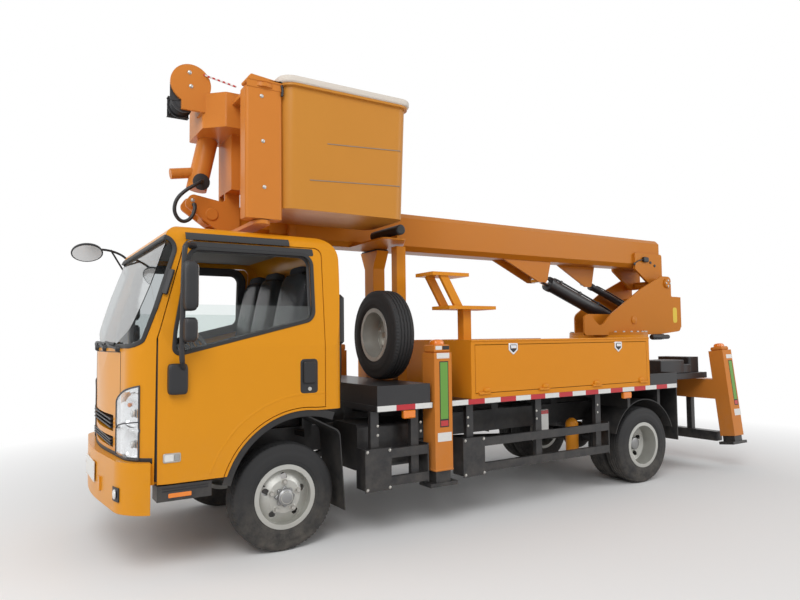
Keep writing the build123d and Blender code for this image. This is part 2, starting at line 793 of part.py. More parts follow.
def build_cab_inside(inner, floor):
    dash = [(DASH_X + DASH_ROUND, DASH_LOW), (DASH_X, (DASH_LOW + COWL_Z) / 2),
            (DASH_X + DASH_ROUND, COWL_Z - DASH_ROUND / 2), (DASH_X + 3 * DASH_ROUND, COWL_Z),
            (2 * CAB_FRONT, COWL_Z), (2 * CAB_FRONT, DASH_LOW)]
    half = CAB_HALF - DASH_SIDE
    panel = inner & prism_y(dash, -half, half, [DASH_ROUND, DASH_ROUND, DASH_ROUND, 0, 0, 0])
    x, y, z = WHEEL_HUB
    lean = Vector(-cos(radians(WHEEL_LEAN)), 0, sin(radians(WHEEL_LEAN)))
    column = rod(tuple(Vector(*WHEEL_HUB) - lean * (DASH_X - x + 2 * DASH_ROUND)), WHEEL_HUB, COLUMN_R)
    plane = Plane(origin=WHEEL_HUB, x_dir=(0, 1, 0), z_dir=lean)
    spokes = Box(2 * WHEEL_R, SPOKE_W, WHEEL_RIM_R)
    spokes = spokes + Box(SPOKE_W, WHEEL_R, WHEEL_RIM_R).moved(Location((0, -WHEEL_R / 2, 0)))
    add("dashboard", panel, column, plane * Torus(WHEEL_R, WHEEL_RIM_R), plane * spokes)
    rear = CAB_REAR + SEAT_REAR
    front = rear + SEAT_LENGTH
    top = floor + SEAT_BASE + SEAT_CUSHION
    head = CAB_ROOF - SEAT_HEADROOM
    seats = None
    for y0, y1 in SEAT_ROWS:
        base = block(rear + SEAT_IN, front - SEAT_IN, y0, y1, floor, floor + SEAT_BASE)
        cushion = [(rear, floor + SEAT_BASE), (rear, top - SEAT_IN), (front, top), (front,
                                                                                    floor + SEAT_BASE)]
        back = [(rear + SEAT_IN, top - 2 * SEAT_IN), (rear - SEAT_RAKE, head),
                (rear - SEAT_RAKE + SEAT_THICK, head),
                (rear + SEAT_RAKE, top - SEAT_IN)]
        one = base + prism_y(cushion, y0, y1, SEAT_IN) + prism_y(back, y0, y1, SEAT_IN)
        seats = one if seats is None else seats + one
    add("seats", seats)


def build_bumper():
    forward = Pos(BUMPER_OUT - BUMPER_SIDE, 0)
    under = CAB_BOTTOM - BUMPER_GAP
    bar = extrude(Pos(0, 0, BUMPER_BOTTOM) * forward * cab_plan(BUMPER_SIDE),
                  amount=BUMPER_TOP - BUMPER_BOTTOM)
    bar = bar & block(CAB_FRONT - BUMPER_BACK, FAR, -FAR, FAR, 0, FAR)
    bar = bar - extrude(forward * cab_plan(BUMPER_SIDE - BUMPER_WALL), amount=under)
    bar = bar - extrude(Pos(0, 0, under - LAP) * cab_plan(BUMPER_GAP), amount=FAR)
    y0, y1 = BUMPER_ARM_Y - BUMPER_ARM_W / 2, BUMPER_ARM_Y + BUMPER_ARM_W / 2
    low = under - BUMPER_GAP - BUMPER_ARM_H
    arm = block(RAIL_FRONT - BUMPER_ARM_LAP, CAB_FRONT + BUMPER_OUT - BUMPER_WALL / 2, y0, y1, low,
                under - BUMPER_GAP)
    post = block(RAIL_FRONT - BUMPER_ARM_LAP, RAIL_FRONT - BUMPER_ARM_W, y0, y1, low, RAIL_BOTTOM)
    add("bumper", bar, both(arm + post))


def tyre(y):
    half = TYRE_W / 2
    side = [(-BEAD_HALF, BEAD_R), (-half, BEAD_R + TYRE_BULGE), (-half, TYRE_R - TYRE_SHOULDER),
            (-half + TREAD_EDGE / 2, TYRE_R - TREAD_DROP), (-half + TREAD_EDGE, TYRE_R)]
    return Pos(0, y, 0) * lathe(side + [(-a, r) for a, r in reversed(side)])


def rim(y, face, dish):
    """Rim with flanges, and a disc from its barrel at dish out to its hub face."""
    seat = BEAD_R - SPINDLE_FIT
    low = seat - RIM_WALL
    edge = RIM_HALF - FLANGE_WALL
    ring = lathe([(-RIM_HALF, low), (-RIM_HALF, FLANGE_R), (-edge, FLANGE_R), (-edge, seat),
                  (edge, seat), (edge, FLANGE_R), (RIM_HALF, FLANGE_R), (RIM_HALF, low)])
    disc = lathe([(dish, low + LAP), (dish + DISC_WALL, low + LAP), (face, DISC_FLAT_R), (face, 0),
                  (face - DISC_WALL, 0), (face - DISC_WALL, DISC_FLAT_R)])
    for k in range(HUB_HOLES):
        a = radians(90 + 360 * k / HUB_HOLES)
        disc = disc - barrel_y(HUB_HOLE_PCR * cos(a), -2 * RIM_HALF, 2 * RIM_HALF, HUB_HOLE_PCR * sin(a),
                               HUB_HOLE_R)
    return Pos(0, y, 0) * (ring + disc)


def build_wheels():
    """Wheels at their axles: the left ones are made and mirrored."""
    at_front = Pos(0, FRONT_TRACK_HALF, AXLE_Z)
    at_rear = Pos(REAR_X, TWIN_MID, AXLE_Z)
    front_hub = barrel_y(0, -HUB_IN, HUB_OUT, 0, HUB_R) + barrel_y(0, 0, HUB_OUT + HUB_CAP, 0, HUB_CAP_R)
    front_rim = rim(0, FRONT_FACE, FRONT_FACE - DISH_IN) + front_hub
    front_rim = front_rim - barrel_y(0, -2 * HUB_IN, SPINDLE_END + SPINDLE_GAP, 0,
                                     SPINDLE_R + SPINDLE_FIT)
    half = TWIN_PITCH / 2
    rear_hub = barrel_y(0, -REAR_HUB_IN, REAR_HUB_OUT, 0, REAR_HUB_R)
    rear_hub = rear_hub + barrel_y(0, 0, REAR_HUB_OUT + REAR_CAP, 0, HUB_R)
    outside = rim(half, DISC_WALL - half, DISC_WALL - half + REAR_DISH)
    rear_rim = outside + mirror(outside, about=Plane.XZ) + rear_hub
    rear_rim = rear_rim - barrel_y(0, -2 * REAR_HUB_IN, REAR_SPINDLE_END + SPINDLE_GAP, 0,
                                   REAR_SPINDLE_R + SPINDLE_FIT)
    add_pair("front_tyre_", at_front * tyre(0))
    add_pair("front_rim_", at_front * front_rim)
    add_pair("rear_tyres_", at_rear * (tyre(half) + tyre(-half)))
    add_pair("rear_rims_", at_rear * rear_rim)
    turn = Pos(SPARE_X, SPARE_Y, SPARE_Z) * Rot(0, 0, -90)
    add("spare_tyre", turn * tyre(0))
    add("spare_rim", turn * rim(0, -SPARE_DISH, -SPARE_DISH - SPARE_STEP))


def leaf_spring(x):
    """Bowed spring pack with its ends under the rail, and its seat on the axle."""
    low = AXLE_Z + PAD_LIFT
    top = low + SPRING_LEAVES
    end = RAIL_BOTTOM - SPRING_EYE
    inner = SPRING_HALF - 2 * SPRING_EYE
    points = [(x - SPRING_HALF, RAIL_BOTTOM), (x - SPRING_HALF, end), (x - SPRING_FLAT, low),
              (x + SPRING_FLAT, low),
              (x + SPRING_HALF, end), (x + SPRING_HALF, RAIL_BOTTOM), (x + inner, RAIL_BOTTOM),
              (x + SPRING_FLAT, top), (x - SPRING_FLAT, top), (x - inner, RAIL_BOTTOM)]
    seat = block(x - PAD_HALF, x + PAD_HALF, SPRING_Y - PAD_SIDE, SPRING_Y + SPRING_W + PAD_SIDE, AXLE_Z,
                 low)
    return both(prism_y(points, SPRING_Y, SPRING_Y + SPRING_W) + seat)


def build_axles():
    boss_half = KNUCKLE_HALF_Z - KNUCKLE_EAR - LAP
    beam = block(-BEAM_HALF, BEAM_HALF, -KINGPIN_Y, KINGPIN_Y, AXLE_Z - BEAM_HALF, AXLE_Z + BEAM_HALF)
    boss = rod((0, KINGPIN_Y, AXLE_Z - boss_half), (0, KINGPIN_Y, AXLE_Z + boss_half), BOSS_R)
    bore = rod((0, KINGPIN_Y, 0), (0, KINGPIN_Y, 2 * AXLE_Z), KINGPIN_R + SPINDLE_FIT)
    add("front_axle", (beam + both(boss)) - both(bore), leaf_spring(0))

    low, high = AXLE_Z - KNUCKLE_HALF_Z, AXLE_Z + KNUCKLE_HALF_Z
    pin = rod((0, KINGPIN_Y, low), (0, KINGPIN_Y, high), KINGPIN_R)
    web_y = KINGPIN_Y + BOSS_R + STEER_GAP
    ears = block(-KNUCKLE_HALF_X, KNUCKLE_HALF_X, KINGPIN_Y - KNUCKLE_HALF_X, web_y + KNUCKLE_WEB, low,
                 high)
    ears = ears - block(-FAR, FAR, 0, web_y, low + KNUCKLE_EAR, high - KNUCKLE_EAR)
    spindle = barrel_y(0, web_y, FRONT_TRACK_HALF + SPINDLE_END, AXLE_Z, SPINDLE_R)
    add_pair("knuckle_", ears + pin + spindle)

    tube_end = TWIN_MID - AXLE_TUBE_END
    tube = barrel_y(REAR_X, -tube_end, tube_end, AXLE_Z, AXLE_TUBE_R)
    spindles = both(barrel_y(REAR_X, 0, TWIN_MID + REAR_SPINDLE_END, AXLE_Z, REAR_SPINDLE_R))
    diff = Pos(REAR_X, 0, AXLE_Z) * Sphere(DIFF_R)
    shaft = rod((REAR_X, 0, AXLE_Z), (ENGINE_REAR - SHAFT_GAP, 0, ENGINE_Z0 + 2 * SHAFT_R), SHAFT_R)
    add("rear_axle", tube, spindles, diff, shaft, leaf_spring(REAR_X))


def build_chassis():
    """Frame with its cross members, cab mounts, steps and the box that holds the front outriggers."""
    rail = block(REAR_LEG_X + LEG_W / 2, RAIL_FRONT, RAIL_OUT - RAIL_FLANGE, RAIL_OUT, RAIL_BOTTOM,
                 RAIL_TOP)
    frame = both(rail)
    side = RAIL_OUT - RAIL_FLANGE / 2
    for x in (RAIL_FRONT - 3 * MEMBER_HALF, ENGINE_REAR - 2 * MEMBER_HALF, LEG_X - BOX_LEAD,
              REAR_X / 2 + LEG_X, SLEW_X):
        frame = frame + block(x - MEMBER_HALF, x + MEMBER_HALF, -side, side, RAIL_BOTTOM + MEMBER_INSET,
                              RAIL_TOP - MEMBER_INSET)
    rear_mount = block(CAB_REAR, CAB_REAR + MOUNT_W, RAIL_OUT - RAIL_FLANGE, RAIL_OUT, RAIL_TOP,
                       CAB_REAR_BOTTOM)
    front = RAIL_FRONT - MOUNT_W
    front_mount = block(front - MOUNT_W, front, RAIL_OUT, TUNNEL_HALF, RAIL_BOTTOM + MEMBER_INSET,
                        RAIL_TOP - MEMBER_INSET)
    step_top = CAB_BOTTOM - STEP_GAP
    step_low = step_top - STEP_DROP
    step = block(DOOR_FRONT - STEP_LENGTH, DOOR_FRONT - STEP_GAP, CAB_HALF - STEP_DEPTH,
                 CAB_HALF - STEP_GAP, step_low, step_top)
    arm_x = DOOR_FRONT - STEP_LENGTH / 2
    arm = block(arm_x - STEP_ARM / 2, arm_x + STEP_ARM / 2, RAIL_OUT - RAIL_FLANGE, CAB_HALF - STEP_DEPTH,
                step_low + STEP_GAP, step_top - STEP_GAP)
    hanger = block(arm_x - STEP_ARM / 2, arm_x + STEP_ARM / 2, RAIL_OUT - RAIL_FLANGE, RAIL_OUT,
                   step_low + STEP_GAP, RAIL_BOTTOM)
    frame = frame + both(rear_mount + front_mount + step + arm + hanger)
    engine = block(ENGINE_REAR, ENGINE_FRONT, -ENGINE_HALF, ENGINE_HALF, ENGINE_Z0,
                   CAB_REAR_BOTTOM - ENGINE_GAP)
    mounts = block(0, ENGINE_MOUNT, ENGINE_HALF - LAP, RAIL_OUT - RAIL_FLANGE, RAIL_BOTTOM + ENGINE_MOUNT,
                   RAIL_BOTTOM + 2 * ENGINE_MOUNT)
    add("engine", engine + both(mounts))
    tank_x = LEG_X + LEG_W / 2 + TANK_GAP
    tank = block(tank_x, tank_x + TANK_LENGTH, RAIL_OUT, RAIL_OUT + TANK_W, RAIL_BOTTOM - TANK_DROP,
                 RAIL_TOP + TANK_LIFT)
    add("fuel_and_battery_boxes", both(fillet(tank.edges().filter_by(Axis.X), TANK_CORNER)))

    half = LEG_OUT - LEG_W - BEAM_FIT
    wide = BEAM_W / 2 + BEAM_FIT + LEG_WALL
    housing = block(LEG_X - wide, LEG_X + wide, -half, half, RAIL_TOP, DECK_LOW)
    tunnel = block(LEG_X - wide + LEG_WALL, LEG_X + wide - LEG_WALL, -FAR, FAR, RAIL_TOP + LEG_WALL,
                   DECK_LOW - LEG_WALL)
    shoe_z = RAIL_TOP + LEG_WALL + BEAM_FIT - PAD_FIT
    shoes = both(block(LEG_X - SHOE / 2, LEG_X + SHOE / 2, half - SHOE, half, RAIL_TOP + LEG_WALL - LAP,
                       shoe_z))
    add("chassis_frame", frame, housing - tunnel + shoes)


def front_guard(reach, y0, y1):
    """Wheel side of a front mudguard: an arc ahead and a flap line behind."""
    arc = barrel_y(ARCH_X, y0, y1, ARCH_Z, reach) & block(ARCH_X, FAR, 0, FAR, CAB_BOTTOM - GUARD_IN / 10,
                                                          FAR)
    back = CAB_REAR - FLAP_BACK + ARCH_R - GUARD_GAP - reach
    top = ARCH_Z + reach
    tail = [(ARCH_X + LAP, top), (ARCH_X + LAP, 0), (back, FLAP_BOTTOM), (back + FLAP_RAKE,
                                                                          top - FLAP_ROUND)]
    return arc + prism_y(tail, y0, y1, [0, 0, 0, FLAP_ROUND / 2])


def build_mudguards():
    y1 = CAB_HALF - REAR_GUARD_SIDE
    reach = ARCH_R - GUARD_GAP
    guard = front_guard(reach, GUARD_IN, y1) - front_guard(reach - GUARD_SKIN, 0, FAR)
    guard = guard & block(-FAR, FAR, 0, FAR, FLAP_BOTTOM, FAR)
    bracket_x = CAB_REAR + MOUNT_W
    bracket = block(bracket_x, bracket_x + GUARD_STAY, RAIL_OUT, GUARD_IN + GUARD_STAY,
                    RAIL_TOP - GUARD_STAY, RAIL_TOP - GUARD_STAY / 3)
    bracket = bracket + block(bracket_x, bracket_x + GUARD_STAY, GUARD_IN, GUARD_IN + GUARD_STAY,
                              RAIL_TOP - GUARD_STAY, ARCH_Z + reach)
    guard = guard + (bracket & front_guard(reach, 0, FAR)) - front_guard(reach - GUARD_SKIN,
                                                                         GUARD_IN + LAP, FAR)

    r = TYRE_R + REAR_GUARD_GAP
    wide = TWIN_PITCH / 2 + TYRE_W / 2 + REAR_GUARD_SIDE
    y0, y1 = TWIN_MID - wide, TWIN_MID + wide
    wheel = barrel_y(REAR_X, 0, FAR, AXLE_Z, r - GUARD_SKIN)
    ring = barrel_y(REAR_X, y0, y1, AXLE_Z, r) & block(-FAR, FAR, 0, FAR, AXLE_Z + REAR_GUARD_RISE, FAR)
    for x in (REAR_X - r / 2, REAR_X + r / 2):
        ring = ring + block(x - GUARD_STAY / 3, x + GUARD_STAY / 3, y0, y1, AXLE_Z + r * 3 / 4, DECK_LOW)
    flap = block(DECK_REAR - GUARD_STAY, DECK_REAR - GUARD_STAY - FLAP_WALL, y0, y1, REAR_FLAP_LOW,
                 REAR_PLATE_Z)
    add("mudguards", both(guard), both(ring - wheel + flap))


def build_deck():
    """Deck plates on cross bearers, with the front box, rear skirts, rear plate and valve box."""
    bridge = LEG_OUT - LEG_W - 2 * LEG_GAP
    front_end = LEG_X + LEG_W / 2 + LEG_GAP
    rear_end = LEG_X - LEG_W / 2 - LEG_GAP
    plate = block(DECK_REAR, DECK_FRONT, -DECK_HALF, DECK_HALF, DECK_LOW, DECK_TOP)
    plate = plate - both(block(rear_end, front_end, bridge, FAR, 0, FAR))
    post = Pos(SLEW_X, 0, SLEW_Z / 2) * Cylinder(PEDESTAL_R, 2 * SLEW_Z)
    plate = plate - post
    for k in range(CROSS_COUNT):
        x = DECK_FRONT - CROSS_W / 2 - k * CROSS_PITCH
        plate = plate + block(x - CROSS_W, x, -RAIL_OUT, RAIL_OUT, RAIL_TOP, DECK_LOW)
    top = DECK_TOP + FRONT_BOX_UP
    x0 = REST_X + REST_HALF + LEG_GAP
    x1 = x0 + FRONT_BOX_LENGTH
    front_box = block(x0, x1, -DECK_HALF, DECK_HALF, DECK_TOP, top)
    front_box = front_box - block(x0 + SKIRT, x1 - SKIRT, -DECK_HALF + SKIRT, DECK_HALF - SKIRT, 0,
                                  top - SKIRT)
    skirt = block(DECK_REAR, BOX_REAR - BOX_DOOR_GAP, DECK_HALF - SKIRT, DECK_HALF, DECK_TOP,
                  DECK_TOP + SKIRT_UP)
    skirt = skirt + block(DECK_REAR, DECK_REAR + SKIRT, DECK_HALF - SKIRT_RETURN, DECK_HALF, DECK_TOP,
                          DECK_TOP + SKIRT_UP)
    rear_top = REAR_PLATE_Z + REAR_PLATE
    rear = block(REAR_LEG_X + LEG_W / 2 + LEG_GAP, DECK_REAR, -REAR_PLATE_HALF, REAR_PLATE_HALF,
                 REAR_PLATE_Z, rear_top)
    rear = rear + block(DECK_REAR, DECK_REAR + REAR_PLATE, -REAR_PLATE_HALF, REAR_PLATE_HALF, DECK_LOW,
                        rear_top) - post
    bearer = REAR_LEG_X + LEG_W + CROSS_W
    rear = rear + block(bearer, bearer + CROSS_W / 2, -RAIL_OUT, RAIL_OUT, RAIL_TOP, REAR_PLATE_Z)
    valve_x = SLEW_X - VALVE_BACK
    valves = block(valve_x - VALVE_HALF, valve_x + VALVE_HALF, *VALVE_Y, rear_top, rear_top + VALVE_H)
    add("deck", plate, front_box, both(skirt), rear, fillet(valves.edges().filter_by(Axis.Z),
                                                            VALVE_HALF / 3))


def build_toolboxes():
    """Side toolboxes with a hinged drop door each, the wall between them and the access steps."""
    box = block(BOX_REAR, BOX_FRONT, BOX_INNER, DECK_HALF, DECK_TOP, BOX_TOP)
    w = BOX_WALL
    room = block(BOX_REAR + w, BOX_FRONT - w, BOX_INNER + w, DECK_HALF - w, DECK_TOP + w, BOX_TOP - w)
    i = BOX_DOOR_INSET
    gap = block(BOX_REAR + i, BOX_FRONT - i, DECK_HALF - 2 * w, FAR, DECK_TOP + i, BOX_TOP - i)
    i = BOX_DOOR_INSET + BOX_DOOR_GAP
    door = block(BOX_REAR + i, BOX_FRONT - i, DECK_HALF - w, DECK_HALF, DECK_TOP + i, BOX_TOP - i)
    bed = box - room - gap
    lip = DECK_HALF + HINGE_R + LAP
    z = DECK_TOP + BOX_DOOR_INSET
    pitch = (BOX_FRONT - BOX_REAR - 2 * HINGE_INSET + BOX_PAST) / (HINGE_COUNT - 1)
    for k in range(HINGE_COUNT):
        x = BOX_FRONT - HINGE_INSET - pitch * k
        start = x + HINGE_FIT
        bed = bed + rod((x - HINGE_LENGTH, lip, z), (x, lip, z), HINGE_R)
        bed = bed + block(x - HINGE_LENGTH, x, DECK_HALF - LAP, lip, z - HINGE_R, z)
        door = door + rod((start, lip, z), (x + HINGE_LENGTH, lip, z), HINGE_R)
        door = door + block(start, x + HINGE_LENGTH, DECK_HALF - LAP, lip, z, z + HINGE_R + BOX_DOOR_GAP)
    wall = block(BOX_FRONT - w, BOX_FRONT, -BOX_INNER - LAP, BOX_INNER + LAP, DECK_TOP, BOX_TOP)
    add("toolboxes", both(bed), wall, access_steps())
    add_pair("toolbox_door_", door)


def access_steps():
    """Two treads on a post above the left toolbox, for climbing into the basket."""
    y0, y1 = STEP_Y
    mid = (y0 + y1) / 2
    low = BOX_TOP + STEP_STAND
    high = low + STEP_RISE
    post = STEP_TREAD / 6
    lower_x = BOX_FRONT + STEP_LEAD
    upper_x = lower_x + STEP_GOING
    stand_x = lower_x - STEP_TREAD / 2
    steps = block(stand_x - post / 2, stand_x + post / 2, mid - post / 2, mid + post / 2, BOX_TOP,
                  low + LAP)
    steps = steps + block(lower_x - STEP_TREAD, lower_x, y0, y1, low, low + STEP_PLATE)
    steps = steps + block(upper_x - STEP_TREAD * 3 / 4, upper_x, y0, y1, high, high + STEP_PLATE)
    foot, head = lower_x - 2 * post, upper_x - 2 * post
    for y in (y0 + STEP_PLATE, y1 - STEP_PLATE):
        strut = [(foot, low), (foot + post, low), (head + post, high + LAP), (head, high + LAP)]
        steps = steps + prism_y(strut, y - STEP_PLATE / 2, y + STEP_PLATE / 2)
    return steps


def build_side_guards():
    """Two bars on hangers between the wheels, with a wide plate at the front end of each run."""
    half = RAIL_GUARD_W / 2
    top = RAIL_GUARD_LOW + RAIL_GUARD_PITCH + RAIL_GUARD_H
    edge = RAIL_GUARD_END
    rows = [(LEG_X + LEG_W / 2 + RAIL_GUARD_GAP, CAB_REAR - FLAP_BACK - RAIL_GUARD_LEAD, 2),
            (REAR_X + TYRE_R + RAIL_GUARD_LEAD + RAIL_GUARD_H, LEG_X - LEG_W / 2 - RAIL_GUARD_LEAD, 3)]
    bars = None
    for x0, x1, hangers in rows:
        for z in (RAIL_GUARD_LOW, RAIL_GUARD_LOW + RAIL_GUARD_PITCH):
            bar = block(x0, x1, RAIL_GUARD_Y - half, RAIL_GUARD_Y + half, z, z + RAIL_GUARD_H)
            bars = bar if bars is None else bars + bar
        for k in range(hangers):
            x = x0 + RAIL_GUARD_H + (x1 - x0 - 3 * RAIL_GUARD_H) * k / (hangers - 1)
            bars = bars + block(x, x + RAIL_GUARD_H, RAIL_GUARD_Y - 3 * half, RAIL_GUARD_Y - half + LAP,
                                RAIL_GUARD_LOW, DECK_LOW)
        for x in (x0, x1 - edge):
            bars = bars + block(x, x + edge, RAIL_GUARD_Y - 6 * half, RAIL_GUARD_Y + half + LAP,
                                RAIL_GUARD_LOW - edge, top + edge)
        plate_y = RAIL_GUARD_Y + half
        bars = bars + block(x1 - RAIL_GUARD_PLATE, x1, plate_y - LAP, plate_y + edge / 3,
                            RAIL_GUARD_LOW - 2 * edge, top + edge)
    add("side_guards", both(bars))


def build_stands():
    """Boom rest and spare wheel post."""
    head = BOOM_LOW - REST_PAD_GAP
    h = REST_POST_HALF
    post = block(REST_X - REST_HALF, REST_X + REST_HALF, -h, h, DECK_TOP, head - h)
    saddle = prism_x([(-h, head - 2 * h), (-REST_SPREAD, head), (REST_SPREAD, head), (h, head - 2 * h)],
                     REST_X - REST_HALF, REST_X + REST_HALF)
    side = block(REST_X - POST_SIDE / 2, REST_X + POST_SIDE / 2, SPARE_Y - POST_SIDE / 2,
                 SPARE_Y + POST_SIDE / 2, DECK_TOP, head)
    tie = block(REST_X - POST_SIDE / 3, REST_X + POST_SIDE / 3, 0, SPARE_Y, SPARE_Z - BEAD_R - POST_SIDE,
                SPARE_Z - BEAD_R)
    seat = SPARE_X - SPARE_DISH - DISC_WALL
    carrier = rod((REST_X, SPARE_Y, SPARE_Z), (seat, SPARE_Y, SPARE_Z), SPARE_ARM_R)
    carrier = carrier + rod((seat - SPARE_ARM_R, SPARE_Y, SPARE_Z), (seat, SPARE_Y, SPARE_Z),
                            2 * SPARE_ARM_R)
    add("boom_rest", post + saddle + side + tie + carrier)


def leg_tube(length, width):
    """Square tube along +Z with its foot at the origin."""
    hollow = width - 2 * LEG_WALL
    return Pos(0, 0, length / 2) * (Box(width, width, length) - Pos(0, 0, -LEG_WALL) * Box(hollow, hollow,
                                                                                           length))


def jack_leg(length, reach):
    """Inner leg with its foot plate, the foot's underside at the origin."""
    hollow = JACK_W - 2 * LEG_WALL
    shaft = Pos(0, 0, (length + FOOT_H) / 2) * (Box(JACK_W, JACK_W, length + FOOT_H) - Box(hollow, hollow,
                                                                                           length))
    return shaft + Pos(0, 0, FOOT_H / 2) * Box(FOOT_W, reach, FOOT_H)


def build_outriggers():
    """Front beams that slide out of the chassis with their jacks, and the leaning rear legs."""
    y = LEG_OUT - LEG_W / 2
    half = LEG_W / 2
    column = Pos(LEG_X, y, LEG_BOTTOM) * leg_tube(LEG_TOP - LEG_BOTTOM, LEG_W)
    lamp_half = LAMP_BOX / 2
    lamp = block(LEG_X - lamp_half, LEG_X + lamp_half, y - lamp_half, y + lamp_half, LEG_TOP - LAP,
                 LEG_TOP + LAMP_BOX_H)
    z0 = RAIL_TOP + LEG_WALL + BEAM_FIT
    beam = block(LEG_X - BEAM_W / 2, LEG_X + BEAM_W / 2, BEAM_ROOT, y - half + LAP, z0, z0 + BEAM_H)
    guide = half - LEG_WALL
    slip = JACK_W / 2 + PAD_FIT
    pads = block(LEG_X - guide, LEG_X + guide, y - guide, y + guide, LEG_BOTTOM, LEG_BOTTOM + LEG_GUIDE)
    pads = pads - block(LEG_X - slip, LEG_X + slip, y - slip, y + slip, 0, LEG_TOP)
    add_pair("front_beam_", column + lamp + beam + pads)
    add_pair("front_jack_", Pos(LEG_X, y,
                                FOOT_Z) * jack_leg(LEG_BOTTOM - FOOT_Z + JACK_STROKE + JACK_STAY, LEG_W))

    turned = Pos(REAR_LEG_X, REAR_LEG_Y, REAR_LEG_TOP) * Rot(REAR_LEG_LEAN, 0, 0) * Pos(0, 0,
                                                                                        -REAR_LEG_LENGTH)
    collar = Pos(0, 0, LEG_GUIDE / 2) * (Box(2 * guide, 2 * guide, LEG_GUIDE) - Box(2 * slip, 2 * slip,
                                                                                    2 * LEG_GUIDE))
    outer = turned * (leg_tube(REAR_LEG_LENGTH, LEG_W) + collar)
    inside = turned * Box(LEG_W - LAP, LEG_W - LAP, 3 * REAR_LEG_LENGTH)
    add_pair("rear_jack_", turned * (Pos(0, 0, -JACK_OUT) * jack_leg(JACK_OUT + JACK_STROKE + JACK_STAY,
                                                                     LEG_W)))
    cross = block(REAR_LEG_X - half, REAR_LEG_X + half, -REAR_LEG_Y, REAR_LEG_Y, REAR_BOX_Z0,
                  REAR_BOX_Z0 + REAR_BOX_H) - both(inside)
    p = UNDERRUN_POST / 2
    posts = block(REAR_LEG_X - p, REAR_LEG_X + p, UNDERRUN_POST_Y - p, UNDERRUN_POST_Y + p, UNDERRUN_Z,
                  REAR_BOX_Z0 + LAP)
    bar_half = UNDERRUN_H / 2
    bar = block(REAR_LEG_X - bar_half, REAR_LEG_X + bar_half, -UNDERRUN_HALF, UNDERRUN_HALF,
                UNDERRUN_Z - bar_half, UNDERRUN_Z + bar_half)
    add("rear_outriggers", cross + both(posts) + bar, both(outer))


def build_turret():
    """Pedestal and slew ring, and the turret: two cheeks, with a toe box in front of the left one."""
    tube = Pos(SLEW_X, 0, (RAIL_TOP + SLEW_Z) / 2) * Cylinder(PEDESTAL_R, SLEW_Z - RAIL_TOP)
    add("pedestal", tube + Pos(SLEW_X, 0, SLEW_Z - SLEW_RING / 2) * Cylinder(SLEW_R, SLEW_RING))
    base = SLEW_Z + SLEW_GAP
    toe, front = SLEW_X + TOE_OUT, SLEW_X + CHEEK_OUT
    ear = PIVOT_Z + EAR_R
    cover_top = PIVOT_Z - 2 * EAR_R + COVER_LAP
    tail = TURRET_REAR + TURRET_COVER
    back = [((front + PIVOT_X) / 2, PIVOT_Z - EAR_R), (PIVOT_X + EAR_R, ear), (PIVOT_X - EAR_R, ear),
            (PIVOT_X - EAR_R, cover_top),
            (tail, cover_top), (tail, base + TURRET_COVER), (PIVOT_X + 2 * EAR_R, base)]
    back_r = [EAR_R * 2 / 3] * 3 + [TURRET_PLATE] + [EAR_R * 2 / 3] * 3
    notch = [(toe, base), (toe, base + TOE_H - TURRET_FLOOR), (toe - EAR_R, base + TOE_H),
             (toe - 3 * EAR_R, base + EAR_R),
             (front + TURRET_FLOOR, base + TOE_H)]
    plain = [(front, base), (front, base + TOE_H)]
    inside = TURRET_HALF - TURRET_PLATE
    turret = prism_y(notch + back, inside, TURRET_HALF, [TURRET_FLOOR, TURRET_COVER, TURRET_COVER, EAR_R,
                                                         EAR_R] + back_r)
    turret = turret + prism_y(plain + back, -TURRET_HALF, -inside, [TURRET_FLOOR, EAR_R] + back_r)
    width = inside + LAP
    turret = turret + block(PIVOT_X + 2 * EAR_R, front, -width, width, base, base + TURRET_FLOOR)
    turret = turret + Pos(SLEW_X, 0, base + TURRET_FLOOR / 2) * Cylinder(SLEW_R - 2 * LAP, TURRET_FLOOR)
    short = toe - TOE_SHORT
    turret = turret + block(front - LAP, short, TOE_IN, width, base, base + TURRET_FLOOR)
    turret = turret + block(SLEW_X, short, TOE_IN, TOE_IN + TURRET_PLATE, base, base + TOE_H)
    cover = block(TURRET_REAR, PIVOT_X + EAR_R, -width, width, base + EAR_R, cover_top - LAP)
    hollow = inside - TURRET_PLATE
    cover = cover - block(TURRET_REAR + TURRET_PLATE, FAR, -hollow, hollow, base + EAR_R + TURRET_PLATE,
                          cover_top - TURRET_PLATE)
    bearing = both(barrel_y(LIFT_BASE[0], LIFT_CHEEK_Y, width, LIFT_BASE[1], LIFT_EYE_R))
    pin = barrel_y(LIFT_BASE[0], -width, width, LIFT_BASE[1], LIFT_PIN_R)
    level_pin = barrel_y(LEVEL_BASE[0], -width, LEVEL_Y + LEVEL_HALF + CHEEK, LEVEL_BASE[1], LEVEL_PIN_R)
    reach = TURRET_HALF + PIVOT_OUT
    pivot = barrel_y(PIVOT_X, -reach, reach, PIVOT_Z, PIVOT_R)
    add("turret", turret, cover, bearing, pin, level_pin, pivot)


def stage_face(k, inset):
    """Chamfered outline of a boom stage, 0 being the outer one, drawn in by the inset."""
    w, h = (BOOM_W - k * STAGE_STEP) / 2 - inset, (BOOM_H - k * STAGE_STEP_H) / 2 - inset
    c = BOOM_CHAMFER
    return [(-w, BOOM_Z - h + c), (-w + c, BOOM_Z - h), (w - c, BOOM_Z - h), (w, BOOM_Z - h + c),
            (w, BOOM_Z + h - c), (w - c, BOOM_Z + h), (-w + c, BOOM_Z + h), (-w, BOOM_Z + h - c)]


